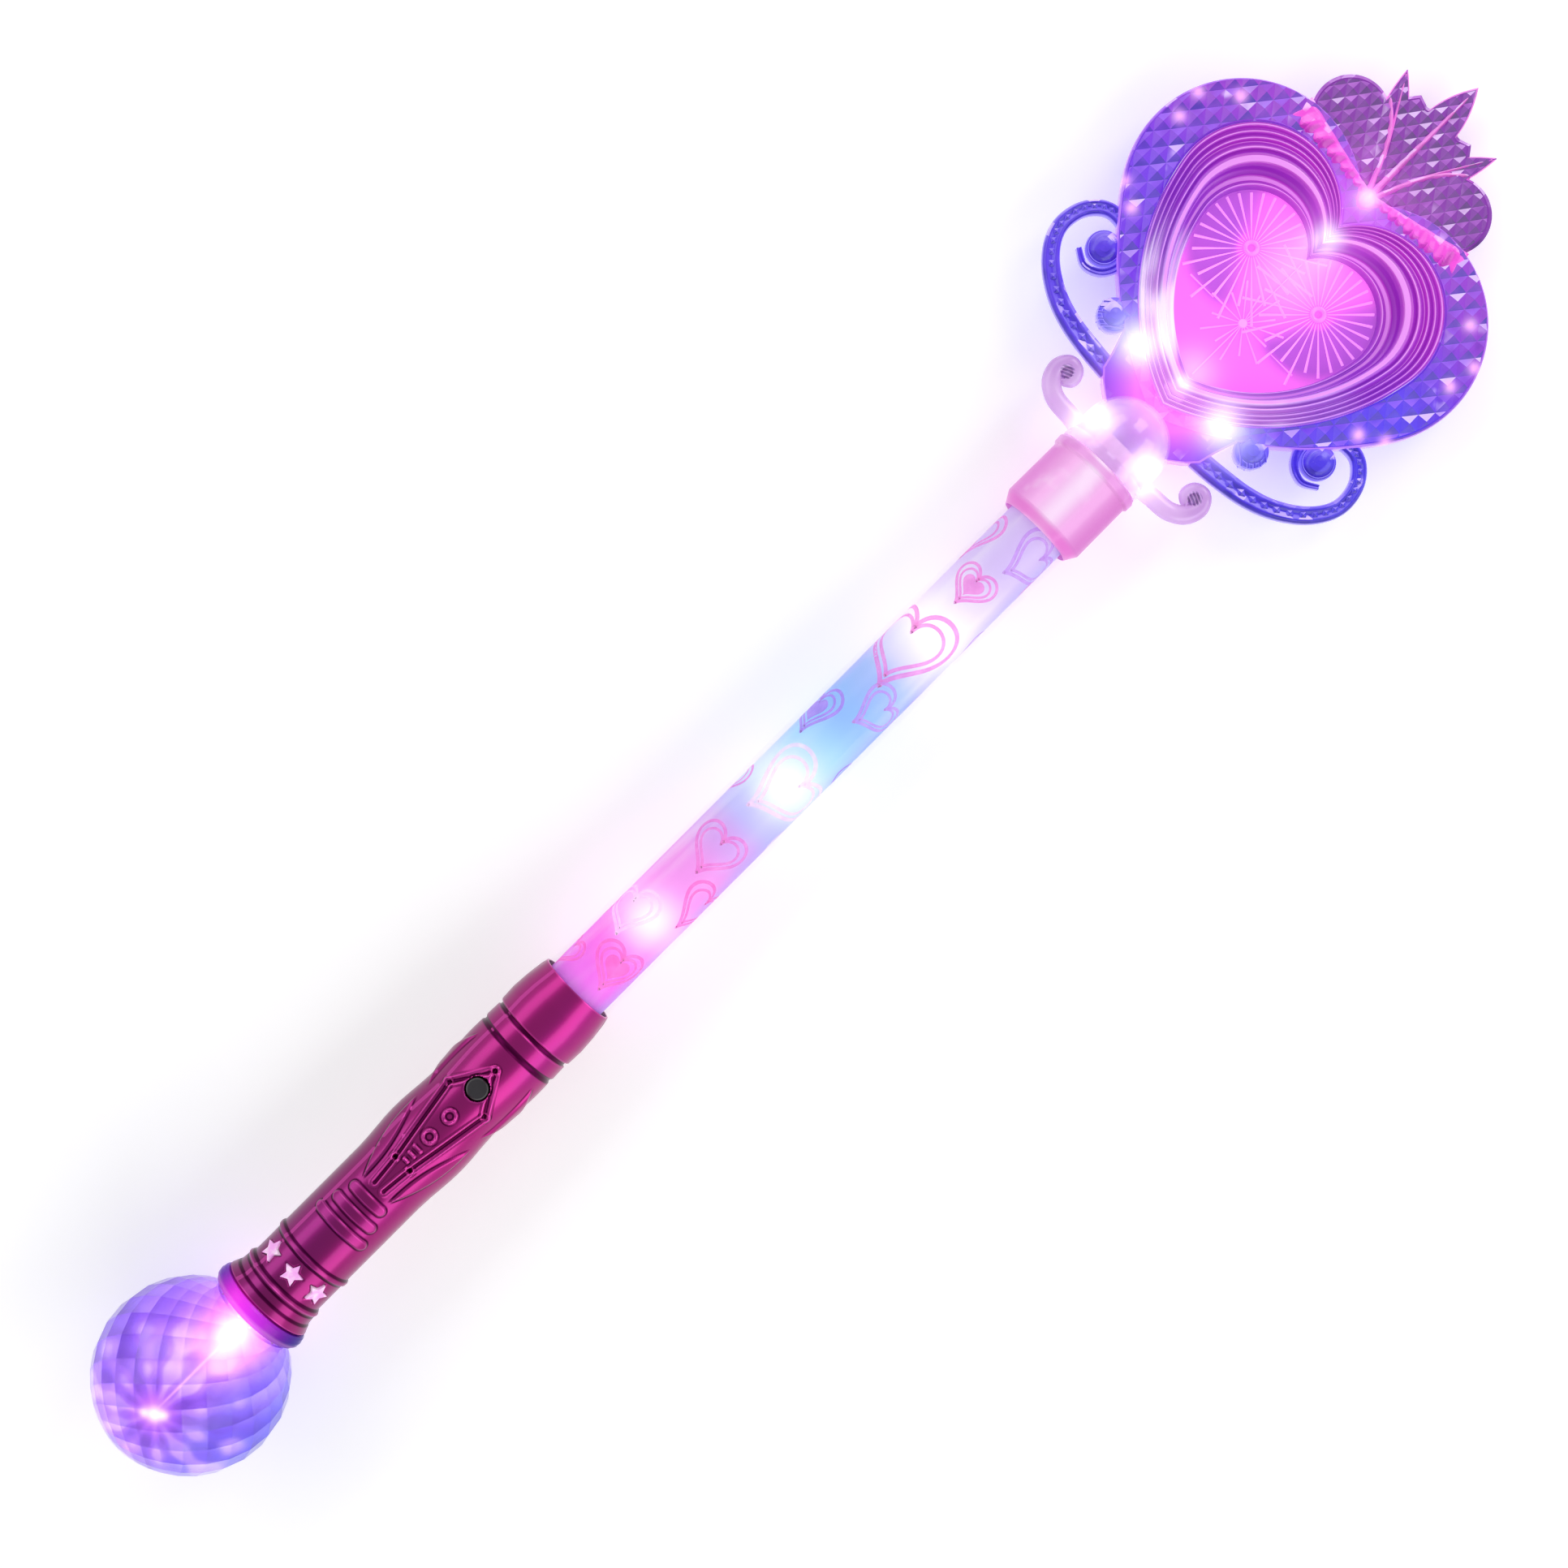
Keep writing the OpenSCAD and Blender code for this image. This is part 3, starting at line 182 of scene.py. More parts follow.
class Shader:
    """Node tree of a material or of the world, with the wand's own coordinates at hand."""

    def __init__(self, owner: Union[bpy.types.Material, bpy.types.World]) -> None:
        """Empties the owner's node tree.

        Args:
            owner: the material or the world.
        """
        owner.use_nodes = True
        self.owner = owner
        self.nodes = owner.node_tree.nodes
        self.links = owner.node_tree.links
        self.kept: Dict[str, Shade] = {}
        self.nodes.clear()

    def add(self, kind: str, settings: Optional[Dict[str, Any]] = None, inputs: Optional[Dict[Any, Any]] = None,
            output: Union[int, str] = 0) -> Shade:
        """Adds a node.

        Args:
            kind: the node's type.
            settings: its properties, or a ramp's stops, which are set first.
            inputs: values or links for its sockets, by number or name.
            output: the socket to give back.

        Returns:
            The output socket.
        """
        node = self.nodes.new(kind)
        for key, value in (settings or {}).items():
            if key == "stops":
                ramp = node.color_ramp.elements
                while len(ramp) > 1:
                    ramp.remove(ramp[-1])
                for i, (place, colour) in enumerate(value):
                    stop = ramp[0] if i == 0 else ramp.new(place)
                    stop.position, stop.color = place, colour
            elif key == "fade":
                node.color_ramp.interpolation = value
            else:
                setattr(node, key, value)
        for key, value in (inputs or {}).items():
            if isinstance(value, Shade):
                self.links.new(value.socket, node.inputs[key])
            else:
                node.inputs[key].default_value = value
        return Shade(self, node.outputs[output] if node.outputs else None)

    def once(self, key: str, make: Callable[[], Shade]) -> Shade:
        """Makes a socket the first time and gives it back after that.

        Args:
            key: the socket's name.
            make: what makes it.

        Returns:
            The socket.
        """
        if key not in self.kept:
            self.kept[key] = make()
        return self.kept[key]

    def dot(self, vector: Any, direction: Sequence[float]) -> Shade:
        """Share of a vector along a direction."""
        inputs = {0: vector, 1: tuple(direction)}
        return self.add("ShaderNodeVectorMath", {"operation": "DOT_PRODUCT"}, inputs, "Value")

    @property
    def spot(self) -> Shade:
        """Place on the piece, in the frame's metres."""
        return self.once("spot", lambda: self.add("ShaderNodeTexCoord", output="Object"))

    @property
    def along(self) -> Shade:
        """Millimetres along the wand from the ball's far end."""
        c, s = 1000 * math.cos(LIE.lean), 1000 * math.sin(LIE.lean)
        return self.once("along", lambda: self.dot(self.spot, (c, 0, -s)) + (LIE.middle * c + LIE.lift * s) / 1000)

    @property
    def across(self) -> Shade:
        """Millimetres across the wand, to the right in the upright front view."""
        return self.once("across", lambda: self.dot(self.spot, (0, -1000, 0)))

    @property
    def seen(self) -> Shade:
        """1 for rays from the camera and for those that metal and glass send on, else 0."""
        rays = [self.add("ShaderNodeLightPath", output=f"Is {k} Ray") for k in ("Camera", "Glossy", "Transmission")]
        return rays[0].most(rays[1]).most(rays[2])

    def gap(self, along: float, across: float, mirrored: bool = False) -> Shade:
        """Squared distance from a spot of the front.

        Args:
            along: the spot's place along the wand.
            across: its place across the wand.
            mirrored: whether it is there on both sides.

        Returns:
            The distance, in square millimetres.
        """
        dx = self.along - along
        dy = (self.across.abs() if mirrored else self.across) - across
        return dx * dx + dy * dy

    def glow(self, *lamps: Lamp) -> Shade:
        """Light of lamps behind a clear piece.

        Args:
            lamps: the lamps.

        Returns:
            A value up to 1, strongest next to each lamp.
        """
        total: Any = 0.0
        for lamp in lamps:
            far = self.gap(lamp.along, lamp.across, lamp.mirrored) / (-2 * lamp.reach ** 2)
            total = far.exp() * lamp.power + total
        return total.least(1.0)

    def noise(self, scale: float, detail: float = 2.0, stretch: Sequence[float] = (1, 1, 1)) -> Shade:
        """Soft noise.

        Args:
            scale: features to a metre.
            detail: layers of finer noise.
            stretch: scale along each axis.

        Returns:
            A value from 0 to 1.
        """
        place = self.add("ShaderNodeMapping", None, {"Vector": self.spot, "Scale": tuple(stretch)})
        return self.add("ShaderNodeTexNoise", None, {"Vector": place, "Scale": scale, "Detail": detail}, "Fac")

    def facing(self, output: str, direction: Sequence[float]) -> Shade:
        """How far a normal of the surface looks along a direction of the frame."""
        return self.dot(self.once(output, lambda: self.add("ShaderNodeNewGeometry", output=output)), direction)

    def mix(self, share: Any, low: Any, high: Any) -> Shade:
        """Mixes two colours."""
        settings = {"data_type": "RGBA", "clamp_factor": True}
        return self.add("ShaderNodeMix", settings, {0: share, 6: low, 7: high}, 2)

    def layers(self, colour: Any, *coats: Tuple[Any, str]) -> Any:
        """Lays colours over one another.

        Args:
            colour: the lowest colour.
            coats: how much each further colour covers, and its code.

        Returns:
            The colour on top.
        """
        for share, code in coats:
            colour = self.mix(share, colour, tint(code))
        return colour

    def lit(self, colour: Any, share: float, *coats: Tuple[Any, str]) -> Any:
        """Light that a piece sends out.

        Args:
            colour: the piece's colour.
            share: how much of it the piece glows with.
            coats: light of lamps that is laid over it, as for layers.

        Returns:
            The light's colour.
        """
        return self.layers(self.mix(share, tint(BLACK), colour), *coats)

    def ramp(self, value: Shade, *stops: Tuple[float, str]) -> Shade:
        """Colour along a scale.

        Args:
            value: the place on the scale.
            stops: places on the scale, from its start to its end, and their colour codes.

        Returns:
            The colour.
        """
        low, high = stops[0][0], stops[-1][0]
        marks = [((place - low) / (high - low), tint(code)) for place, code in stops]
        return self.add("ShaderNodeValToRGB", {"stops": marks, "fade": "EASE"}, {0: (value - low) / (high - low)})

    def bump(self, height: Any, strength: float, distance: float = 0.0002) -> Shade:
        """Normal that follows a height."""
        return self.add("ShaderNodeBump", None, {"Strength": strength, "Distance": distance, "Height": height})

    def surface(self, **sockets: Any) -> bpy.types.Material:
        """Ends the tree in a Principled shader.

        Args:
            sockets: values or links, named as its sockets with _ for a space.

        Returns:
            The finished material.
        """
        inputs = {key.replace("_", " "): value for key, value in sockets.items()}
        body = self.add("ShaderNodeBsdfPrincipled", None, inputs)
        self.add("ShaderNodeOutputMaterial", None, {"Surface": body})
        return self.owner


class Finish:
    """A surface finish that makes its material once."""

    name: str

    def paint(self, shader: Shader) -> bpy.types.Material:
        """Builds the node tree."""
        raise NotImplementedError

    @lru_cache(maxsize=None)
    def material(self) -> bpy.types.Material:
        """The finish's material."""
        return self.paint(Shader(bpy.data.materials.new(f"{type(self).__name__}_{self.name}")))


@dataclass(frozen=True)
class Plated(Finish):
    """Bright magenta plating on moulded plastic."""

    name: str = "magenta"
    # bright and deep: lit and shaded magenta of the painted shade across the handle
    bright: str = "#a81c76"
    deep: str = "#78145c"
    rings: Tuple[float, ...] = (53.3, 55.8, 57.6, 66.1, 67.9, 136.9, 138.0, 142.7)
    ring_half: float = 0.55
    # relief: whether to paint shade into the relief's creases and highlights onto its edges
    relief: bool = False

    def paint(self, shader: Shader) -> bpy.types.Material:
        """Magenta metal, deeper toward the foot and on the upper left, with faint swirls and dark grooves.

        Args:
            shader: the tree to paint in.

        Returns:
            The material.
        """
        cloud = shader.noise(90, 3, (0.25, 1, 1))
        # painted shade: darker toward the foot and the left side, lighter toward the cup and the right side
        painted_shade_shift = (shader.across + 11) / 22 * 0.55 + (shader.along - 55) / 210
        colour = shader.mix(painted_shade_shift.step(0.05, 0.95), tint(self.deep), tint(self.bright))
        colour = shader.layers(colour, (cloud.step(0.45, 0.75) * 0.35, "#8a1c78"))
        # painted shade: the ring grooves and creases darkened, with less coat in them
        groove_shade: Any = 0.0
        for ring in self.rings:
            groove_shade = (shader.along - ring).abs().step(self.ring_half, 0.15) + groove_shade
        if self.relief:
            # painted shade in the relief's concave creases and painted highlight on its convex edges, from the mesh's
            # pointiness
            crease_shading = shader.add("ShaderNodeNewGeometry", output="Pointiness")
            groove_shade = groove_shade + crease_shading.step(0.499, 0.478)
            colour = shader.layers(colour, (crease_shading.step(0.515, 0.545) * 0.35, "#e04fb4"))
        groove_shade = groove_shade.least(1.0)
        colour = shader.layers(colour, (groove_shade * 0.85, "#2a0322"))
        return shader.surface(Base_Color=colour, Metallic=1.0, Roughness=cloud * 0.1 + 0.24,
                              Coat_Weight=0.3 - groove_shade * 0.3, Coat_Roughness=0.12,
                              Normal=shader.bump(shader.noise(2600, 2), 0.06, 0.00005))


@dataclass(frozen=True)
class CutCrystal(Finish):
    """Clear violet plastic of the faceted ball, lit from its neck."""

    name: str = "ball"
    faceted: bool = True
    neck: float = 44.0
    # mirror: where the painted reflection of the neck's lamp sits in the far facets
    mirror: Point = (19.0, 0.5)

    def paint(self, shader: Shader) -> bpy.types.Material:
        """Lilac on one side and blue on the other, pink next to the neck, with wedges round the lamp's mirror image.

        Args:
            shader: the tree to paint in.

        Returns:
            The material.
        """
        # painted shade: darker violet and blue toward both rims of the ball, lilac in the middle
        facet = shader.ramp(shader.across, (-25, "#7c52cc"), (-9, "#b890ea"), (4, "#b48ce8"), (14, "#8c82e2"),
                            (25, "#5c64d6"))
        if self.faceted:
            # painted glints and painted shade: each facet lighter or darker by the way it faces
            tilt_shading = ((shader.facing("True Normal", (0.35, 0.62, 0.3)) * 17.3).sin()
                    * (shader.facing("True Normal", (0.7, -0.4, 0.5)) * 11.9).sin())
            facet = shader.layers(facet, (tilt_shading.step(0.0, 0.9) * 0.3, "#f3e2fd"),
                                  ((-tilt_shading).step(0.0, 1.0) * 0.22, "#6a4cc8"))
        # painted reflection: light and dark wedges round the lamp's mirror image
        x, y = self.mirror
        angle = (shader.across - y).atan2(shader.along - x)
        far = shader.gap(x, y) ** 0.5
        reflection_wedge = (angle * 4.0 + 0.4).sin() * (angle * 7.0 + 1.1).sin() + (far * 0.75).sin() * 0.35
        inside = far.step(1.5, 7.0) * (27.0 - far).step(0.0, 9.0)
        facet = shader.layers(facet, (reflection_wedge.step(0.0, 0.7) * inside * 0.5, "#efe2fb"),
                              ((-reflection_wedge).step(0.0, 0.8) * inside * 0.45, "#6f4fb4"))
        colour = shader.layers(facet, (shader.glow(Lamp(self.neck, 0, 4.2)), "#ff8df2"))
        # warm and white light from the lamp in the neck, and the painted reflection of that lamp at its mirror image
        warm = shader.glow(Lamp(self.neck, 0, 5, 0.6), Lamp(x, 0, 3, 0.3))
        white = shader.glow(Lamp(x, y, 1.2, 0.85), Lamp(x - 1.6, y - 2.1, 0.8, 0.5), Lamp(x + 1.4, y + 1.7, 0.8, 0.5),
                            Lamp(self.neck - 1, 0, 2.6))
        # painted reflection: a light line along the axis between the lamp's mirror image and the neck
        highlight_streak = ((shader.across * shader.across / -0.12).exp() * (shader.along - x).step(0, 6)
                  * (self.neck + 2 - shader.along).step(0, 6))
        light = shader.lit(facet, 0.1, (warm, "#ff7af2"), (highlight_streak * 0.3, "#ffc6fb"), (white, WHITE))
        return shader.surface(Base_Color=colour, Roughness=0.04, IOR=1.3, Transmission_Weight=0.85, Coat_Weight=0.25,
                              Emission_Color=light, Emission_Strength=0.9)


@dataclass(frozen=True)
class ClearRing(Finish):
    """Clear violet ring under the ball's neck."""

    name: str = "ring"
    # where the painted highlight band runs round the ring
    highlight_streak: float = 47.4

    def paint(self, shader: Shader) -> bpy.types.Material:
        """Magenta on one side, indigo on the other, with a light streak along the ring.

        Args:
            shader: the tree to paint in.

        Returns:
            The material.
        """
        # painted shade: indigo toward both sides of the ring, magenta in the middle
        colour = shader.ramp(shader.across, (-13, "#5a14b8"), (-6, "#f02eec"), (2, "#c42ae0"), (13, "#2a0f92"))
        # painted highlight: a pale band round the ring
        colour = shader.layers(colour, ((shader.along - self.highlight_streak).abs().step(1.2, 0.2) * 0.35, "#ffb0fa"))
        light = shader.mix(shader.glow(Lamp(46, -3, 5, 0.8)), tint("#2c0850"), tint("#ee48e6"))
        return shader.surface(Base_Color=colour, Roughness=0.16, Transmission_Weight=0.1, IOR=1.2, Coat_Weight=0.05,
                              Emission_Color=light, Emission_Strength=0.45,
                              Normal=shader.bump(shader.noise(500, 2), 0.08))


@dataclass(frozen=True)
class CutHead(Finish):
    """Clear violet plastic of the heart frame, its crown, trims and scrolls."""

    name: str
    left: str
    right: str
    # dark and light: shaded and lit facet colours of the painted facet shading
    dark: str
    light: str
    top: str
    shine: float
    # rim and edge: colour of the painted highlight on steep faces, and where it fades in
    rim: str = ""
    edge: Point = (0.2, 0.4)
    bosses: Tuple[Point, ...] = ()
    boss_reach: float = math.sqrt(1.3)
    square: Tuple[float, float, float] = (353.042, 3.25, 2.55)

    def cut(self, shader: Shader) -> Shade:
        """Violet to blue across the head, each facet lighter or darker by its tilt, and a glint on some.

        Args:
            shader: the tree to paint in.

        Returns:
            The plastic's colour.
        """
        body = shader.ramp(shader.across, (-50, self.left), (0, self.left), (50, self.right))
        rise = (shader.along + shader.across.abs() * 0.35).step(410, 446)
        # painted light and shade: each facet lighter or darker by its tilt, with a random spread
        tilt_shading = shader.facing("True Normal", (0.55, 0.5, 0)) * 1.5 + (shader.noise(230, 1) - 0.5) * 0.9
        start, tall, wide = self.square
        row, column = ((shader.along - start) / tall).floor(), (shader.across / wide).floor()
        place = shader.add("ShaderNodeCombineXYZ", None, {0: row, 1: column})
        luck = shader.add("ShaderNodeTexWhiteNoise", {"noise_dimensions": "2D"}, {"Vector": place}, "Value")
        # lit and shaded facets are painted light and shade, and the last colour is a painted glint
        return shader.layers(body, (rise * 0.75, self.top), (tilt_shading.step(0.08, 0.75) * (luck * 0.5 + 0.4), self.light),
                             ((-tilt_shading).step(0.02, 0.6) * (luck * 0.4 + 0.6), self.dark),
                             (luck.step(0.72, 0.95) * tilt_shading.step(0.05, 0.4) * 0.75, "#ecd2fc"))

    def paint(self, shader: Shader) -> bpy.types.Material:
        """Cut plastic with pale rims and bosses, pink and white next to the lamps and cool beside the foot.

        Args:
            shader: the tree to paint in.

        Returns:
            The material.
        """
        colour = self.cut(shader)
        if self.rim:
            # painted highlight on steep faces along the rims
            rim_highlight = 1.0 - shader.facing("True Normal", LIE.turn((0, 0, 1))).abs()
            colour = shader.layers(colour, (rim_highlight.step(*self.edge) * 0.8, self.rim))
        if self.bosses:
            spots = shader.glow(*(Lamp(x, y, self.boss_reach, 1.0, True) for x, y in self.bosses))
            colour = shader.layers(colour, (spots * 0.85, "#f7b4f2"))
        # painted lamp light: pink near the lamps and bluish beside the foot, laid into the colour as well as the light
        near = shader.glow(Lamp(420, 0, 11, 0.6), Lamp(366, 10, 6, 0.5, True), Lamp(360, 0, 7.5, 1.3))
        bluish_lamp_light = shader.glow(Lamp(366, 17, 5.0, 0.9, True))
        colour = shader.layers(colour, (near * 0.7, "#f47af0"), (bluish_lamp_light * 0.7, "#b4c4fb"))
        light = shader.lit(colour, self.shine, (near * 0.3, "#ff7df0"), (shader.glow(*HEAD_LAMPS), WHITE))
        return shader.surface(Base_Color=colour, Roughness=0.12, IOR=1.4, Coat_Weight=0.2, Coat_Roughness=0.04,
                              Transmission_Weight=0.12, Emission_Color=light, Emission_Strength=0.85,
                              Normal=shader.bump(shader.noise(1400, 2), 0.04, 0.0001))


@dataclass(frozen=True)
class Ridged(Finish):
    """Clear magenta-violet plastic of the ridged heart bezel."""

    name: str = "bezel"

    def paint(self, shader: Shader) -> bpy.types.Material:
        """Magenta at the top, violet down the sides, pale near the tip, with lighter ridge tops and clear streaks.

        Args:
            shader: the tree to paint in.

        Returns:
            The material.
        """
        body = shader.ramp(shader.along, (358, "#f9c4f9"), (374, "#e2b4f4"), (386, "#c084ea"), (398, "#a645d6"),
                           (418, "#b62ec4"), (428, "#bf32c2"))
        # painted highlight on ridge tops that face out, painted shade on steep ridge walls
        ridge_shading = shader.facing("Normal", LIE.turn((0, 0, 1))).abs()
        # painted shade on faces that lean toward the crown end
        lean = shader.facing("Normal", LIE.turn((1, 0, 0)))
        # painted white highlight streaks on the lower part of the bezel
        highlight_streak = shader.noise(34, 2, (1, 1, 3)).step(0.56, 0.72) * (404 - shader.along).step(2, 22)
        colour = shader.layers(body, (ridge_shading.step(0.9, 0.998) * 0.9, "#f09cf8"),
                               ((0.8 - ridge_shading).step(0.0, 0.45) * 0.6, "#6d249e"),
                               (lean.step(0.15, 0.75) * 0.5, "#8a2fb8"), (highlight_streak * 0.8, WHITE))
        near = shader.glow(Lamp(416, 0, 8, 0.7), Lamp(364, 0, 10, 0.7))
        light = shader.lit(colour, 0.45, (near * 0.5, "#ff8ff6"), (shader.glow(*HEAD_LAMPS), WHITE))
        return shader.surface(Base_Color=colour, Roughness=0.1, IOR=1.5, Transmission_Weight=0.15, Coat_Weight=0.6,
                              Coat_Roughness=0.05, Emission_Color=light, Emission_Strength=0.7,
                              Normal=shader.bump(shader.noise(900, 2), 0.04, 0.0001))


@dataclass(frozen=True)
class LitPanel(Finish):
    """Neon pink heart panel with light behind it."""

    name: str = "floor"
    base: str = "#ff6cf4"
    # outer: colour of the painted shade between the ribs
    outer: str = "#a748cc"
    hub: Point = (402, 11.5)

    def paint(self, shader: Shader) -> bpy.types.Material:
        """Neon pink in the middle, violet toward the lobes, and nearly white under the lamps.

        Args:
            shader: the tree to paint in.

        Returns:
            The material.
        """
        x, y = self.hub
        far = shader.gap(x, y, True) ** 0.5
        # painted shade: violet between the ribs on the outer and lower side of each burst
        side = ((shader.across.abs() - y) * 0.8 - (shader.along - x) * 0.45).step(-3.5, 5.5)
        rib_shade = far.step(1.5, 4.5) * (18.5 - far).step(0.0, 5.0) * side
        cloud = shader.noise(70, 3)
        glow = shader.glow(Lamp(416, 0, 3.2), Lamp(370, 0, 4, 0.5), Lamp(406, 0, 6.5, 0.3))
        colour = shader.layers(tint(self.base), (rib_shade * (cloud * 0.4 + 0.7), self.outer),
                               ((2.6 - far).step(0.0, 0.8) * 0.5, "#c23cc8"), (glow, "#ffe6fd"))
        return shader.surface(Base_Color=colour, Roughness=cloud * 0.15 + 0.25, Coat_Weight=0.3,
                              Emission_Color=colour, Emission_Strength=0.42,
                              Normal=shader.bump(shader.noise(800, 3), 0.1))


@dataclass(frozen=True)
class ClearCollar(Finish):
    """Clear plastic of the collar and its horns."""

    name: str = "collar"
    curl: Point = (349.3, 22.0)

    def paint(self, shader: Shader) -> bpy.types.Material:
        """Milky lilac with a dark slot in each horn's curl and white where the lamps shine through.

        Args:
            shader: the tree to paint in.

        Returns:
            The material.
        """
        cloud = shader.noise(60, 3)
        side = shader.across.abs()
        horn = (side - 18).step(0, 4) * (shader.along - 343).step(0, 5)
        slot = shader.gap(*self.curl, True).step(4.2, 2.2) * (shader.along * 2.2 + side).ping(1.0).step(0.2, 0.6)
        middle = side.step(8, 1) * (shader.along - 350).step(-3, 6)
        colour = shader.layers(tint("#f2e0f6"), (cloud.step(0.35, 0.7), "#e2bfec"), (horn * 0.45, "#bd86d2"),
                               (slot * 0.85, "#5d4a86"), (middle * 0.7, "#eaa0e8"))
        glow = shader.glow(Lamp(344.5, 9.2, 3.0, 1.1, True), Lamp(360, 0, 5, 0.35))
        light = shader.mix(glow, tint("#4a2c54"), tint(WHITE))
        return shader.surface(Base_Color=colour, Roughness=0.08, IOR=1.46, Transmission_Weight=0.65, Coat_Weight=0.6,
                              Emission_Color=light, Emission_Strength=0.75, Normal=shader.bump(cloud, 0.1, 0.0006))


@dataclass(frozen=True)
class Frosted(Finish):
    """Frosted pink plastic of the ferrule."""

    name: str = "ferrule"
    foot: float = 317.5
    rim: float = 336.5

    def paint(self, shader: Shader) -> bpy.types.Material:
        """Pink, paler in the middle, with the leads showing as soft clouds and fine frosting.

        Args:
            shader: the tree to paint in.

        Returns:
            The material.
        """
        # painted shade: deeper pink toward both sides, and a painted pale sheen in the middle
        body = shader.ramp(shader.across, (-12, "#d060c4"), (-6, "#e8a2e0"), (0, "#f0d2f0"), (5, "#e096d8"),
                           (12, "#c24cb4"))
        colour = shader.layers(body, (shader.noise(75, 3).step(0.5, 0.72) * 0.6, "#fbe6fb"),
                               ((shader.along - self.foot).abs().step(2.2, 0.4) * 0.7, "#dd57c6"),
                               ((shader.along - self.rim).abs().step(1.4, 0.4) * 0.6, "#d77fd3"))
        return shader.surface(Base_Color=colour, Roughness=0.3, Coat_Weight=0.4, Emission_Strength=0.8,
                              Emission_Color=shader.lit(colour, 0.4), Normal=shader.bump(shader.noise(1500, 3), 0.1))


@dataclass(frozen=True)
class PrintedFilm(Finish):
    """Printed film in the tube: pink to blue to lilac, lit by three lamps."""

    name: str = "film"
    print: Tuple[Tuple[float, str], ...] = (
        (156, "#b838d2"), (163, "#ee44ea"), (172, "#fb44ea"), (186, "#fa66f0"), (199, "#ee86ea"), (210, "#d096ec"),
        (218, "#b0b0f4"), (228, "#b4d8fa"), (240, "#92d2fa"), (252, "#7cb6f5"), (263, "#8fb4f4"), (272, "#c3c0f4"),
        (282, "#ebdffa"), (292, "#ddccf4"), (304, "#cdb8ee"), (318, "#c9b0ea"))

    def paint(self, shader: Shader) -> bpy.types.Material:
        """Colour along the tube, darker at its edges, with a hot spot over every lamp and fine streaks.

        Args:
            shader: the tree to paint in.

        Returns:
            The material.
        """
        glow = shader.glow(*TUBE_LAMPS)
        streaks = shader.noise(160, 3, (0.08, 1, 1))
        colour = shader.layers(shader.ramp(shader.along, *self.print),
                               # painted shade: bluer and darker toward the right edge, lilac toward the left edge
                               ((shader.across - 5.5).step(0, 3.6) * 0.55, "#8f8fe6"),
                               ((-shader.across - 6.5).step(0, 2.4) * 0.25, "#c99af0"), (glow, WHITE),
                               ((streaks - 0.5).step(0.02, 0.3) * 0.3, WHITE))
        light = shader.lit(colour, 0.42, (glow * 0.5, WHITE))
        return shader.surface(Base_Color=colour, Roughness=0.5, Emission_Color=light, Emission_Strength=0.8,
                              Normal=shader.bump(shader.noise(3000, 1), 0.05))


@dataclass(frozen=True)
class ClearTube(Finish):
    """Clear, lightly frosted tube over the film."""

    name: str = "tube"

    def paint(self, shader: Shader) -> bpy.types.Material:
        """Faint lilac haze with drawn lines along the tube.

        Args:
            shader: the tree to paint in.

        Returns:
            The material.
        """
        lines = shader.noise(220, 2, (0.04, 1, 1))
        colour = shader.mix(lines, tint("#efdcf8"), tint(WHITE))
        return shader.surface(Base_Color=colour, Roughness=0.16, Alpha=0.1, Coat_Weight=0.5, Coat_Roughness=0.1,
                              Normal=shader.bump(lines, 0.05, 0.0003))


@dataclass(frozen=True)
class Ink(Finish):
    """Printed ink of the hearts."""

    name: str
    colour: str
    soft: str

    def paint(self, shader: Shader) -> bpy.types.Material:
        """Ink with a slightly uneven lay, so the light shows through in places.

        Args:
            shader: the tree to paint in.

        Returns:
            The material.
        """
        lay = shader.noise(420, 3)
        colour = shader.mix(lay.step(0.3, 0.75), tint(self.colour), tint(self.soft))
        return shader.surface(Base_Color=colour, Roughness=0.45, Alpha=lay * 0.2 + 0.56, Emission_Strength=0.8,
                              Emission_Color=shader.lit(colour, 0.4))


class Hue(Enum):
    """Ink colours of the printed hearts."""

    PINK = Ink("pink", "#e456cc", "#f07fda")
    MAGENTA = Ink("magenta", "#ee2cc0", "#f258d2")
    LILAC = Ink("lilac", "#bd7ae4", "#cc98ec")
    PURPLE = Ink("purple", "#9c52de", "#b478ea")
    PALE = Ink("pale", "#f6cdf5", "#fbe3fb")


@dataclass(frozen=True)
class Moulded(Finish):
    """Plain moulded plastic, painted board or rubber with a fine grain."""

    name: str
    colour: str
    worn: str
    rough: float = 0.4
    coat: float = 0.2
    lit: float = 0.0
    grain: float = 900.0

    def paint(self, shader: Shader) -> bpy.types.Material:
        """Mottled colour, uneven gloss and a fine grain.

        Args:
            shader: the tree to paint in.

        Returns:
            The material.
        """
        cloud = shader.noise(self.grain * 0.12, 3)
        colour = shader.mix(cloud.step(0.35, 0.75), tint(self.colour), tint(self.worn))
        return shader.surface(Base_Color=colour, Roughness=cloud * 0.15 + self.rough, Coat_Weight=self.coat,
                              Emission_Color=colour, Emission_Strength=self.lit,
                              Normal=shader.bump(shader.noise(self.grain, 2), 0.12))


@dataclass(frozen=True)
class Metal(Finish):
    """Bare or plated metal with fine drawn marks."""

    name: str
    colour: str
    worn: str
    rough: float = 0.25

    def paint(self, shader: Shader) -> bpy.types.Material:
        """Metal with streaks in its gloss.

        Args:
            shader: the tree to paint in.

        Returns:
            The material.
        """
        lines = shader.noise(700, 3, (0.1, 1, 1))
        colour = shader.mix(lines.step(0.4, 0.7), tint(self.colour), tint(self.worn))
        return shader.surface(Base_Color=colour, Metallic=1.0, Roughness=lines * 0.2 + self.rough,
                              Normal=shader.bump(lines, 0.1))


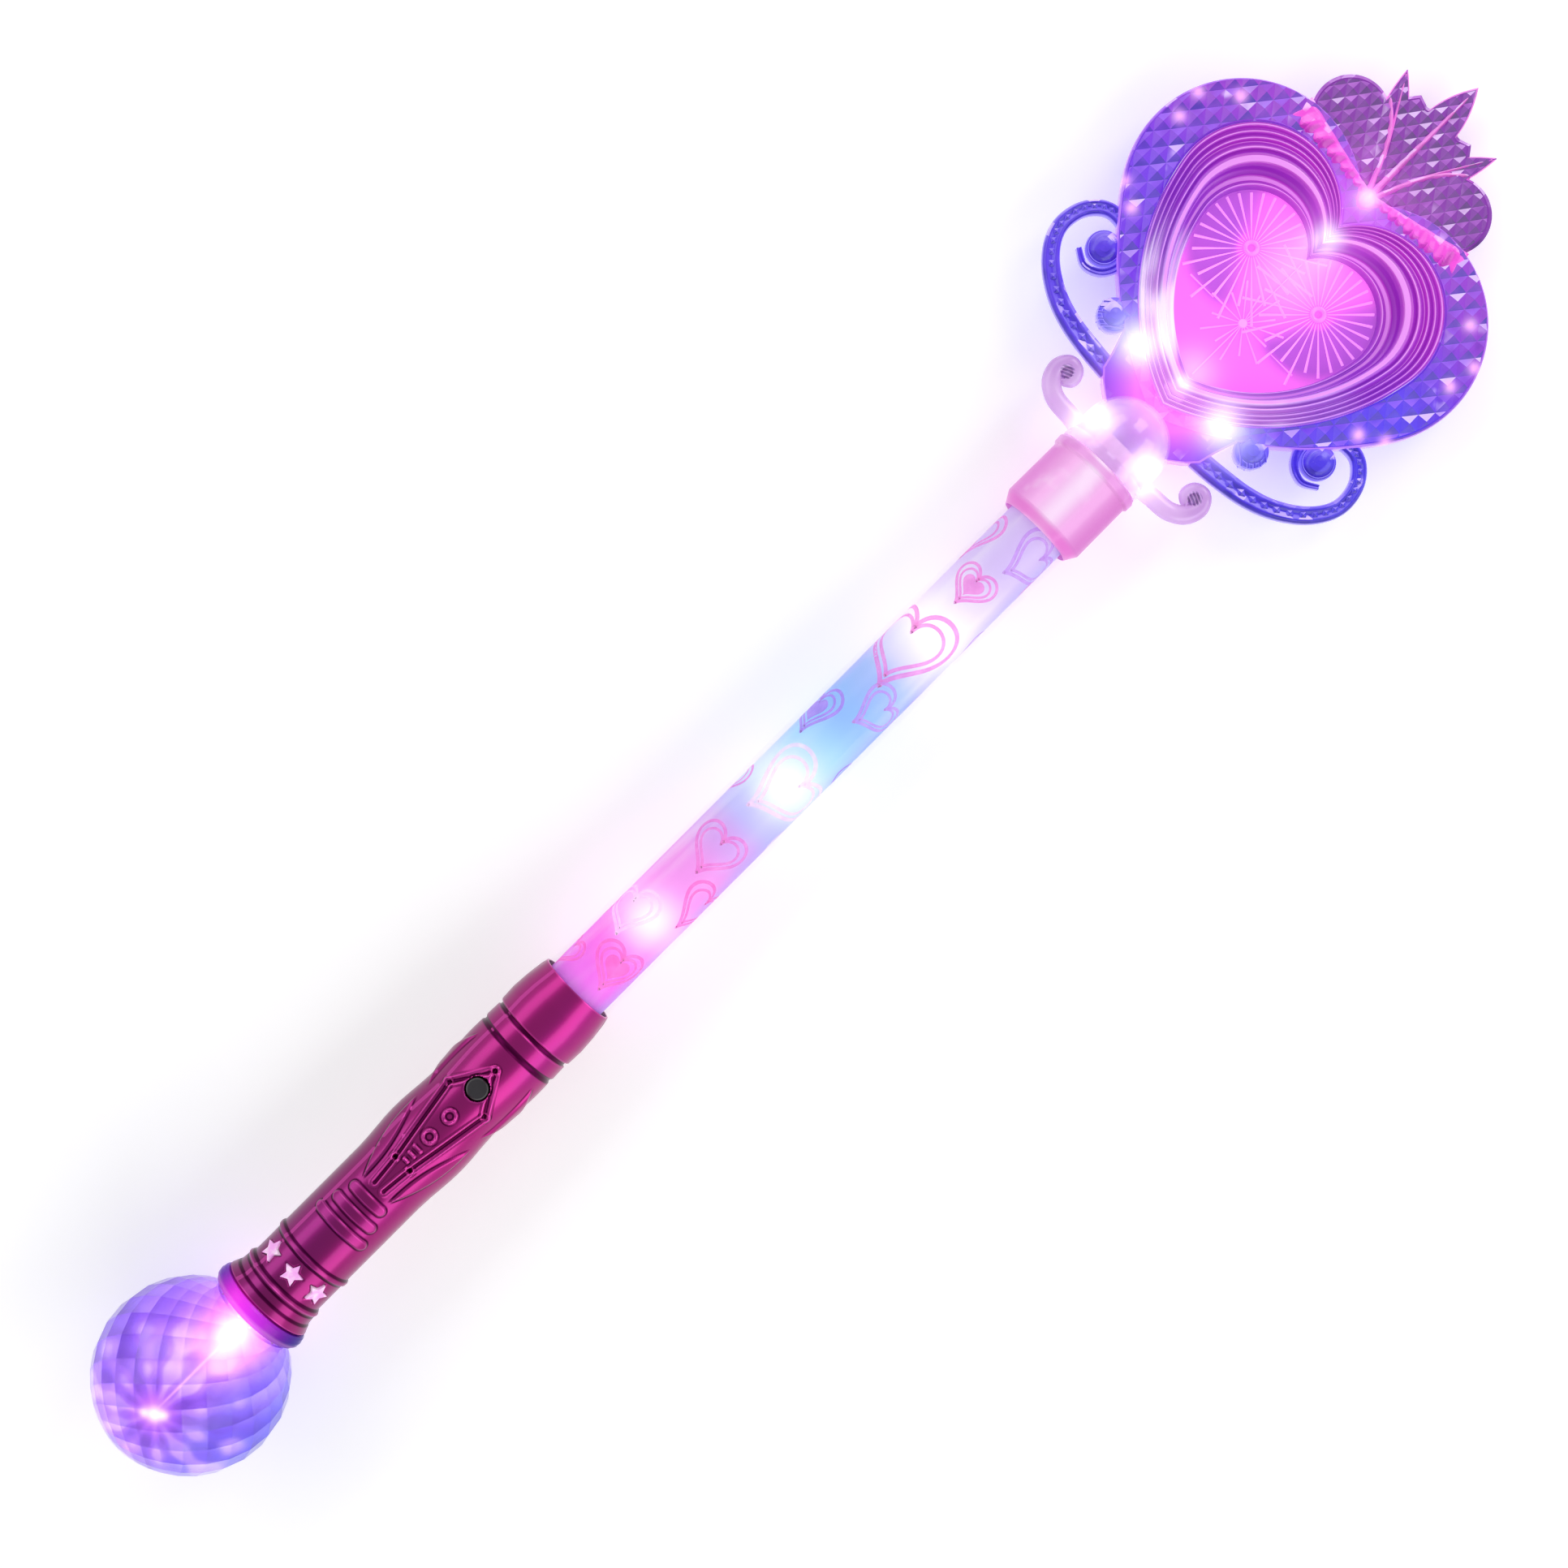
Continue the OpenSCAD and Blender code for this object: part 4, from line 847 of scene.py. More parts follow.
@dataclass(frozen=True)
class Trace(Finish):
    """Circuit board with copper tracks under its lacquer."""

    name: str
    colour: str
    track: str

    def paint(self, shader: Shader) -> bpy.types.Material:
        """Lacquer with straight tracks and a weave.

        Args:
            shader: the tree to paint in.

        Returns:
            The material.
        """
        rows = (shader.across * 0.9).ping(1.0).step(0.72, 0.8) * shader.noise(60, 1, (0.3, 1, 1)).step(0.42, 0.5)
        colour = shader.layers(tint(self.colour), (rows * 0.7, self.track))
        return shader.surface(Base_Color=colour, Roughness=0.3, Coat_Weight=0.4,
                              Normal=shader.bump(rows + shader.noise(1800, 1) * 0.2, 0.2))


PLATED = Plated()
PLATED_FRONT = Plated("relief", relief=True)
FRAME_PLASTIC = CutHead("frame", "#7036d2", "#4e36d8", "#35189c", "#a06cf0", "#9a34b8", 0.5, rim="#c686f3",
                        bosses=((426, 39.5), (419.5, 47.5), (391.5, 45), (388, 39), (412, 46.5)))
CROWN_PLASTIC = CutHead("crown", "#7a2f9c", "#722b9a", "#46146a", "#cd7fe8", "#7e2ea0", 0.45, rim="#ef7ce0",
                        square=(425.507, 2.7, 1.95))
SCROLL_PLASTIC = CutHead("scroll", "#5a3cd4", "#4634d2", "#2f1c9c", "#a892f4", "#5a3cd4", 0.45, rim="#b3a4f8",
                         edge=(0.45, 0.8))
TRIM_PLASTIC = CutHead("trim", "#e648cc", "#e648cc", "#a8249c", "#f98fec", "#e94fd0", 0.5)
RIB_PLASTIC = CutHead("rib", "#dd66cf", "#dd66cf", "#a8419f", "#f6a6ee", "#e07ad2", 0.5)


def run_through(points: Sequence[Sequence[float]], steps: int) -> np.ndarray:
    """Smooth curve through points.

    Args:
        points: the points, of any length.
        steps: steps from one point to the next.

    Returns:
        The curve's points.
    """
    p = np.asarray(points, float)
    p = np.vstack([p[:1], p, p[-1:]])
    out = []
    for a, b, c, d in zip(p, p[1:], p[2:], p[3:]):
        for t in np.arange(steps) / steps:
            bend = (2 * a - 5 * b + 4 * c - d) * t ** 2 + (3 * b - a - 3 * c + d) * t ** 3
            out.append(0.5 * (2 * b + (c - a) * t + bend))
    return np.array(out + [p[-1]])


def circle(steps: int) -> np.ndarray:
    """Angles of one turn in equal steps."""
    return np.arange(steps) * 2 * math.pi / steps


def unit(rows: np.ndarray) -> np.ndarray:
    """Rows brought to a length of 1."""
    return rows / np.linalg.norm(rows, axis=1)[:, None]


def ease(x: np.ndarray, low: float, high: float) -> np.ndarray:
    """Smooth step from 0 at low to 1 at high."""
    t = np.clip((x - low) / (high - low), 0, 1)
    return t * t * (3 - 2 * t)


def weave(rows: int, columns: int, round_rows: bool = False, round_columns: bool = False, start: int = 0) -> Faces:
    """Faces of a grid of points.

    Args:
        rows: rows of points.
        columns: points in a row.
        round_rows: whether the last row meets the first.
        round_columns: whether every row is closed.
        start: number of the first point.

    Returns:
        The faces.
    """
    faces = []
    for i in range(rows if round_rows else rows - 1):
        for j in range(columns if round_columns else columns - 1):
            k, m = (i + 1) % rows, (j + 1) % columns
            quad = (i * columns + j, i * columns + m, k * columns + m, k * columns + j)
            faces.append(tuple(start + n for n in quad))
    return faces


def together(*meshes: Mesh) -> Mesh:
    """Puts several meshes into one.

    Args:
        meshes: the meshes.

    Returns:
        The one mesh.
    """
    points, faces, count = [], [], 0
    for p, f in meshes:
        points.append(np.asarray(p, float))
        faces += [tuple(i + count for i in face) for face in f]
        count += len(p)
    return np.vstack(points), faces


def mirrored(mesh: Mesh, across: bool = False, out: bool = False) -> Mesh:
    """Mirrors a mesh across the wand, or to its back."""
    points = mesh[0] * np.array([1, -1 if across else 1, -1 if out else 1])
    return points, [f[::-1] for f in mesh[1]] if across != out else list(mesh[1])


def both_sides(mesh: Mesh) -> Mesh:
    """A mesh and its mirror image across the wand."""
    return together(mesh, mirrored(mesh, across=True))


def knob(centre: Sequence[float], profile: Sequence[Point], steps: int = 40) -> Mesh:
    """Turns a profile of (radius, out) round a line out of the front."""
    points = [(r * math.cos(a), r * math.sin(a), z) for r, z in profile for a in circle(steps)]
    return np.array(points) + centre, weave(len(profile), steps, round_columns=True)


def spun(profile: Sequence[Point], steps: int = 96) -> Mesh:
    """Turns a profile of (along, radius) round the wand's axis."""
    points, faces = knob((0, 0, 0), [(r, x) for x, r in profile], steps)
    return points[:, ::-1], faces


def swept(points: List[Any], count: int) -> Mesh:
    """Skin over a row of sections, with closed ends.

    Args:
        points: points of one section after another.
        count: points in a section.

    Returns:
        The skin.
    """
    last = len(points) - count
    ends = [tuple(range(count)), tuple(range(last, last + count))[::-1]]
    return np.array(points), weave(len(points) // count, count, round_columns=True) + ends


def beaded(path: np.ndarray, section: Callable[[float], Point], count: int) -> Mesh:
    """Sweeps a half-round section along a flat path.

    Args:
        path: rows of along, across, base height, half width and height.
        section: share of the width and height for an angle from 0 to pi.
        count: points in the section.

    Returns:
        The bead.
    """
    points = []
    for (x, y, z, half, high), (dx, dy) in zip(path, unit(np.gradient(path[:, :2], axis=0))):
        for a in np.linspace(0, math.pi, count):
            w, h = section(a)
            points.append((x - dy * half * w, y + dx * half * w, z + high * h))
    return swept(points, count)


def round_section(a: float) -> Point:
    """Plain half-round section."""
    return math.cos(a), math.sin(a)


def grooved_section(a: float) -> Point:
    """Half-round section with a channel along its middle."""
    return math.cos(a), math.sin(a) ** 0.8 * (1 - 0.42 * math.exp(-((a - math.pi / 2) / 0.42) ** 2))


def tubed(path: np.ndarray, count: int) -> Mesh:
    """Round rod along a path.

    Args:
        path: rows of along, across, out and radius.
        count: points round the rod.

    Returns:
        The rod.
    """
    way = unit(np.gradient(path[:, :3], axis=0))
    side = unit(np.cross(way, (0, 0, 1.0)))
    rows = zip(path[:, :3], path[:, 3], side, np.cross(side, way))
    return swept([p + r * (math.cos(a) * s + math.sin(a) * u) for p, r, s, u in rows for a in circle(count)], count)


def edge_distance(points: np.ndarray, outline: np.ndarray) -> np.ndarray:
    """Distance of points from a closed outline.

    Args:
        points: the points.
        outline: the outline's corners.

    Returns:
        The distances, negative inside the outline.
    """
    best = np.full(len(points), np.inf)
    inside = np.zeros(len(points), bool)
    for a, b in zip(outline, np.roll(outline, -1, 0)):
        edge, to = b - a, points - a
        t = np.clip((to @ edge) / max(edge @ edge, 1e-12), 0, 1)
        best = np.minimum(best, np.linalg.norm(to - t[:, None] * edge, axis=1))
        rising = (a[1] > points[:, 1]) != (b[1] > points[:, 1])
        inside ^= rising & (points[:, 0] < a[0] + to[:, 1] * edge[0] / (edge[1] or 1e-12))
    return np.where(inside, -best, best)


def leaf_line(p: Point, q: Point, left: float, right: float) -> np.ndarray:
    """Outline of a leaf.

    Args:
        p: its foot.
        q: its tip.
        left: its bulge on the left.
        right: its bulge on the right.

    Returns:
        The outline's points.
    """
    p, d = np.array(p), np.array(q) - np.array(p)
    t = np.linspace(0, 1, 17)[:, None]
    bow = np.array([-d[1], d[0]]) / np.linalg.norm(d) * 4 * t * (1 - t)
    return np.vstack([p + d * t + bow * left, (p + d * t - bow * right)[-2:0:-1]])


def put(name: str, data: bpy.types.ID) -> bpy.types.Object:
    """Adds an object to the scene.

    Args:
        name: the object's name.
        data: its mesh, lamp or camera.

    Returns:
        The object.
    """
    obj = bpy.data.objects.new(name, data)
    bpy.context.scene.collection.objects.link(obj)
    return obj


class Bench:
    """Makes pieces, dresses the frame's nodes and reports each one."""

    def loose(self, name: str, mesh: Mesh) -> bpy.types.Object:
        """Makes an undressed object.

        Args:
            name: the object's name.
            mesh: its points in the wand's millimetres and its faces.

        Returns:
            The object, with its faces turned outward.
        """
        data = bpy.data.meshes.new(name)
        data.from_pydata(LIE.place(mesh[0]).tolist(), [], [list(f) for f in mesh[1]])
        data.validate()
        build = bmesh.new()
        build.from_mesh(data)
        bmesh.ops.recalc_face_normals(build, faces=build.faces)
        build.to_mesh(data)
        build.free()
        return put(name, data)

    def piece(self, name: str, mesh: Mesh, finish: Finish, slot: str, stands_for: Sequence[str] = (),
              crease: float = 35.0) -> None:
        """Makes one piece.

        Args:
            name: the piece's name.
            mesh: its points in the wand's millimetres and its faces.
            finish: its finish.
            slot: the record's material slot that its finish comes from.
            stands_for: nodes of the frame that it replaces.
            crease: edges sharper than this many degrees stay sharp.
        """
        obj = self.loose(name, mesh)
        obj.data.shade_smooth()
        obj.data.set_sharp_from_angle(angle=math.radians(crease))
        obj.data.materials.append(finish.material())
        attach(obj, "wand")
        if stands_for:
            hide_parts(*stands_for)
        log.info("piece %s, %d faces", obj.name, len(obj.data.polygons))

    def common(self, name: str, first: Mesh, second: Mesh) -> Mesh:
        """Common part of two closed meshes.

        Args:
            name: a name for the cut.
            first: one mesh.
            second: the other.

        Returns:
            The part that lies in both.
        """
        a, b = self.loose(name, first), self.loose(name + "_with", second)
        cut = a.modifiers.new("common", "BOOLEAN")
        cut.object, cut.operation, cut.solver = b, "INTERSECT", "EXACT"
        data = bpy.data.meshes.new_from_object(a.evaluated_get(bpy.context.evaluated_depsgraph_get()))
        points = np.array([v.co for v in data.vertices])
        faces = [tuple(p.vertices) for p in data.polygons]
        for obj in (a, b):
            bpy.data.objects.remove(obj)
        return LIE.back(points), faces

    def dress(self, node: str, finish: Finish) -> None:
        """Gives a node of the frame its finish.

        Args:
            node: the node's name.
            finish: the finish.
        """
        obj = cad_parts[node]
        obj.data.materials.clear()
        obj.data.materials.append(finish.material())
        log.info("node %s dressed as %s", node, type(finish).__name__)


BENCH = Bench()


class SubAssembly:
    """A part of the wand that builds its own pieces and dresses its own nodes of the frame."""

    def build(self) -> None:
        """Builds the pieces that stand for nodes, and those that are added."""
        raise NotImplementedError

    def finishes(self) -> Dict[Finish, Tuple[str, ...]]:
        """Finishes, and the nodes that each one dresses."""
        return {}

    def dress(self) -> None:
        """Dresses the nodes that stay."""
        for finish, nodes in self.finishes().items():
            for node in nodes:
                BENCH.dress(node, finish)


@dataclass
class Ball(SubAssembly):
    """Faceted crystal ball with its neck, ring, light and star band."""

    centre: float = 24.5
    radius: float = 24.5
    wall: float = 2.0
    facets: int = 18
    belt: float = 0.48
    end_facets: int = 9
    end_at: Point = (0.985, 0.172)
    neck_r: float = 11.0
    neck_start: float = 0.84
    neck_end: float = 50.5
    reach: float = 0.994
    lining_turn: float = 0.87
    lining_tip: float = 0.01

    def touches(self) -> List[Tuple[float, float, float]]:
        """Points of a sphere that the facets touch.

        Returns:
            Staggered rows of points, and a small ring and a point at either end.
        """
        spots = []
        rows = math.ceil(self.facets * self.belt)
        for k in range(-rows, rows + 1):
            lat = 2 * math.atan(math.exp(k * math.pi / self.facets)) - math.pi / 2
            for j in range(self.facets):
                a = 1.5 * math.pi + (j + (abs(k) % 2) / 2) * 2 * math.pi / self.facets
                spots.append((math.sin(lat), math.cos(lat) * math.cos(a), math.cos(lat) * math.sin(a)))
        x, r = self.end_at
        for end in (-1.0, 1.0):
            spots += [(end * x, r * math.cos(a), r * math.sin(a)) for a in circle(self.end_facets)]
            spots.append((end, 0.0, 0.0))
        return spots

    def cut_faces(self) -> Mesh:
        """Diamond facets, each on a plane that touches a sphere.

        Returns:
            The ball's outside.
        """
        hull = bmesh.new()
        for p in self.touches():
            hull.verts.new(p)
        bmesh.ops.convex_hull(hull, input=hull.verts)
        hull.verts.index_update()
        hull.faces.index_update()
        hull.normal_update()
        corners = [f.normal / f.normal.dot(f.verts[0].co) for f in hull.faces]
        faces = []
        for v in hull.verts:
            axis = Vector(v.co).normalized()
            side = axis.orthogonal().normalized()
            up = axis.cross(side)
            met = {f.index: corners[f.index] for f in v.link_faces}
            faces.append(tuple(sorted(met, key=lambda i: math.atan2(met[i].dot(up), met[i].dot(side)))))
        hull.free()
        points = np.array([tuple(c) for c in corners])
        longest = np.linalg.norm(points, axis=1).max()
        return points * self.radius * self.reach / longest + np.array([self.centre, 0, 0]), faces

    def build(self) -> None:
        """Builds the ball's outside, its inner wall and its neck."""
        inner = self.radius - self.wall
        turns = np.linspace(0, math.pi * self.lining_turn, 48)
        lining = spun([(self.centre - inner * math.cos(a), max(inner * math.sin(a), self.lining_tip)) for a in turns])
        neck = spun([(self.centre + self.radius * self.neck_start, self.neck_r), (self.neck_end, self.neck_r)])
        BENCH.piece("crystal_ball_cut", together(self.cut_faces(), neck), CutCrystal(), "crystal",
                    stands_for=["crystal_ball"], crease=4)
        BENCH.piece("crystal_ball_lining", lining, CutCrystal("lining", False), "crystal", crease=60)

    def finishes(self) -> Dict[Finish, Tuple[str, ...]]:
        """Finishes of the ring, the stars and the light in the neck."""
        return {ClearRing(): ("ball_ring",),
                Moulded("star", "#f3a4ee", "#fde8fb", 0.25, 0.4, 0.25, 3600): ("star_lens_ring",),
                Moulded("lamp", "#ffe9ff", WHITE, 0.3, 0.2, 2.5): ("ball_light",),
                Trace("white_board", "#e6e6df", "#cfc9ae"): ("ball_light_board",)}


@dataclass
class Handle(SubAssembly):
    """Plated handle: a front half with its reliefs, a plain back half, the button and the battery door."""

    foot: float = 50.642
    mouth: float = 158.142
    grip_r: float = 10.6
    wall: float = 1.7
    cup_r: float = 9.8
    cup_deep: float = 11.0
    seat: float = 0.03
    swell: float = 0.8
    swells: Tuple[Point, ...] = ((52, 14), (25, 15))
    grip_ends: Point = (17.4, 21.6)
    foot_line: Tuple[Point, ...] = ((0, 1.5), (0.6, 1.9), (2.4, 1.1), (3, 0.8), (5.3, 0.55), (6, 0.85), (6.7, 0.35),
                                    (7.2, 0), (15.4, 0), (15.9, 0.5), (16.6, 0.5))
    cup_line: Tuple[Point, ...] = ((-21, 0.3), (-20.4, 0.3), (-19.9, 0.75), (-16.1, 0.6), (-15.8, 0.1), (-15, 0.1),
                                   (-14.6, 0.8), (-10.5, 1), (-6, 0.7), (-1.6, -0.05), (0, -0.3))
    button: float = 125.142
    button_hole: float = 3.02
    star_at: float = 62.042
    star_r: float = 3.25
    star_turns: Tuple[float, ...] = (-45, 0, 45)
    star_waist: float = 0.5
    star_deep: float = 0.55
    star_edge: Point = (-0.15, 0.2)
    star_view: float = 0.5
    star_away: float = 50.0
    rib_at: float = 70.6
    rib_pitch: float = 4.7
    rib_half: float = 1.4
    rib_widths: Tuple[float, ...] = (11.2, 13.6, 16.0)
    rib_h: float = 0.55
    leaves: Tuple[Tuple[Point, Point, float, float, float], ...] = (
        ((45.8, 9.2), (67.6, 4.4), 1.4, 1.6, 0.5), ((24.4, 9.4), (41.4, 9.2), -0.4, 2.2, 0.55))
    rings: Point = (9.4, 16.2)
    ring_r: float = 1.55
    ring_half: float = 0.4
    bar_at: float = 20.2
    bar_pitch: float = 2.0
    bar_half: float = 0.35
    bar_reach: Tuple[float, ...] = (1.3, 1.05, 0.8)
    mark_h: float = 0.5
    pad_edge: Point = (-0.25, 0.45)
    pad_foot: float = 0.2
    kite: Tuple[Point, ...] = ((6.2, 0), (-4, 6.2), (-25.5, 2.5), (-33.5, 1.7))
    kite_deep: float = 0.5
    kite_edge: Point = (-0.75, -0.1)
    kite_lip: float = 0.16
    lip_at: float = 1.0
    lip_half: float = 0.45
    hole_deep: float = 2.2
    hole_edge: Point = (-0.12, 0.16)
    hole_rim: float = 0.3
    hole_cuts: Point = (-0.1, 0.5)
    dish_deep: float = 0.25
    dish_edge: Point = (-0.8, 0.0)
    rows: int = 360
    columns: int = 132

    def hump(self, x: np.ndarray, middle: float, half: float) -> np.ndarray:
        """Height of one swell of the grip."""
        near = np.abs(x - middle) < half
        return np.where(near, self.swell * (1 + np.cos(math.pi * (x - middle) / half)) / 2, 0)

    def outside(self, x: np.ndarray) -> np.ndarray:
        """Radius of the handle without its reliefs: foot, rings, swells, grooves and cup.

        Args:
            x: places along the wand.

        Returns:
            The radius at each place.
        """
        start, end = self.grip_ends
        grip = np.linspace(self.foot + start, self.mouth - end, 90)
        grip_r = self.grip_r + sum(self.hump(grip, self.mouth - back, half) for back, half in self.swells)
        way = [(self.foot + at, self.grip_r + rise) for at, rise in self.foot_line]
        way += list(zip(grip, grip_r))
        way += [(self.mouth + at, self.grip_r + rise) for at, rise in self.cup_line]
        return np.interp(x, *np.array(way).T)

    def hole_gap(self, x: np.ndarray, y: np.ndarray) -> np.ndarray:
        """Distance from the edge of the button's hole, negative inside it."""
        return np.hypot(x - self.button, y) - self.button_hole

    def pads(self, x: np.ndarray, y: np.ndarray) -> List[Tuple[np.ndarray, float]]:
        """Raised forms of the front: finger ribs, bars, leaves and small rings.

        Args:
            x: places along the wand.
            y: places across it.

        Returns:
            The distance from each form's edge, negative inside it, and the form's height.
        """
        forms = []
        for i, wide in enumerate(self.rib_widths):
            past = np.maximum(np.abs(y) - (wide / 2 - self.rib_half), 0)
            rib = np.hypot(x - self.mouth + self.rib_at + self.rib_pitch * i, past) - self.rib_half
            forms.append((rib, self.rib_h))
        for i, reach in enumerate(self.bar_reach):
            bar = np.abs(x - self.button + self.bar_at + self.bar_pitch * i) - self.bar_half
            forms.append((np.maximum(bar, np.abs(y) - reach), self.mark_h))
        for s in (-1, 1):
            for p, q, left, right, high in self.leaves:
                leaf = leaf_line((self.mouth - p[0], s * p[1]), (self.mouth - q[0], s * q[1]), s * left, s * right)
                forms.append((edge_distance(np.stack([x, y], 1), leaf), high))
        for back in self.rings:
            ring = np.abs(np.hypot(x - self.button + back, y) - self.ring_r) - self.ring_half
            forms.append((ring, self.mark_h))
        return forms

    def kite_gaps(self, x: np.ndarray, y: np.ndarray) -> List[np.ndarray]:
        """Distances from the lines of the kite round the button.

        Args:
            x: places along the wand.
            y: places across it.

        Returns:
            The distances from each line.
        """
        gaps = []
        for s in (-1, 1):
            line = np.array(self.kite) * (1, s) + (self.button, 0)
            for p, way in zip(line, np.diff(line, axis=0)):
                to = np.stack([x, y], 1) - p
                t = np.clip((to @ way) / (way @ way), 0, 1)
                gaps.append(np.linalg.norm(to - t[:, None] * way, axis=1))
        return gaps

    def star_gaps(self, x: np.ndarray, turn: np.ndarray, r: np.ndarray) -> List[np.ndarray]:
        """Distances from the edges of the stars in the lower band.

        Args:
            x: places along the wand.
            turn: angles round it.
            r: radius at each place.

        Returns:
            The distances from each star.
        """
        star = np.array([(math.cos(a), math.sin(a)) for a in circle(10)]) * self.star_r
        star[1::2] *= self.star_waist
        gaps = []
        for middle in np.radians(self.star_turns):
            near = np.stack([x - self.star_at, r * np.sin(turn - middle)], 1)
            near[np.cos(turn - middle) < self.star_view] = self.star_away
            gaps.append(edge_distance(near, star))
        return gaps

    def height(self, x: np.ndarray, y: np.ndarray, turn: np.ndarray, r: np.ndarray) -> np.ndarray:
        """Relief of the front: raised forms, kite lines, stars and the button's hole.

        Args:
            x: places along the wand.
            y: places across it.
            turn: angles round it.
            r: radius at each place.

        Returns:
            The height at each place.
        """
        total = np.zeros(len(x))
        for gap, high in self.pads(x, y):
            total = np.maximum(total, high * ease(-gap, *self.pad_edge))
        for gap in self.kite_gaps(x, y):
            total -= self.kite_deep * ease(-gap, *self.kite_edge) * (total < self.pad_foot)
            lip = ease(-np.abs(gap - self.lip_at), -self.lip_half, 0)
            total += self.kite_lip * lip * (total < self.pad_foot)
        for gap in self.star_gaps(x, turn, r):
            total -= self.star_deep * ease(-gap, *self.star_edge)
        hole = self.hole_gap(x, y)
        total = np.where(hole < self.hole_rim, total * ease(hole, 0, self.hole_rim), total)
        return total - self.hole_deep * ease(-hole, *self.hole_edge) - self.dish_deep * ease(-hole, *self.dish_edge)

    def build(self) -> None:
        """Builds the front half with its reliefs, closed by its inner wall."""
        n, k = self.rows, self.columns
        x = np.repeat(np.linspace(self.foot, self.mouth, n), k)
        turn = np.tile(np.linspace(-math.pi / 2, math.pi / 2, k), n)
        plain = self.outside(x)
        y = plain * np.sin(turn)
        outer = plain + self.height(x, y, turn, plain)
        inner = np.where(x > self.mouth - self.cup_deep, self.cup_r, self.grip_r - self.wall)
        walls = [np.stack([x, r * np.sin(turn), r * np.cos(turn) + self.seat], 1) for r in (outer, inner)]
        hole = self.hole_gap(x, y)
        outer_cut, inner_cut = self.hole_cuts
        faces = [f for f in weave(n, k) if max(hole[i] for i in f) > outer_cut]
        faces += [f[::-1] for f in weave(n, k, start=n * k) if max(hole[i - n * k] for i in f) > inner_cut]
        rims = [range(j, n * k, k) for j in (0, k - 1)] + [range(i * k, i * k + k) for i in (0, n - 1)]
        for rim in rims:
            faces += [(a, b, n * k + b, n * k + a) for a, b in zip(rim, rim[1:])]
        BENCH.piece("handle_front_plated", (np.vstack(walls), faces), PLATED_FRONT, "plated",
                    stands_for=["handle_front_shell"], crease=50)

    def finishes(self) -> Dict[Finish, Tuple[str, ...]]:
        """Finishes of the back half, the door, the button and what is inside."""
        return {PLATED: ("handle_back_shell", "battery_door"),
                Metal("steel", "#a8a8b0", "#8a8a94"): ("handle_screws", "battery_door_screw"),
                Moulded("button", "#0b0a0c", "#1a181c", 0.22, 0.5, 0.0, 1400): ("power_button",),
                Moulded("plunger", "#d4d4d4", "#ececec"): ("switch_plunger",),
                Moulded("black", "#26242a", "#34323a", 0.45): ("switch_housing", "battery_tray"),
                Trace("green_board", "#256d45", "#7fae5c"): ("control_board",),
                Metal("cell", "#c9ccd2", "#b3b7bf", 0.18): ("button_cells",),
                Metal("contact", "#c9a34a", "#b28c3a", 0.3): ("plate_contact", "leaf_contact"),
                Moulded("lead", "#c23a3a", "#a92f33", 0.5, 0.1): ("ball_leads", "tube_leads", "head_leads")}


@dataclass(frozen=True)
class Heart:
    """One printed heart: where it is, how tall, how it is turned, and what is inked."""

    along: float
    round: float
    tall: float
    turn: float
    hue: Hue
    filled: bool = False


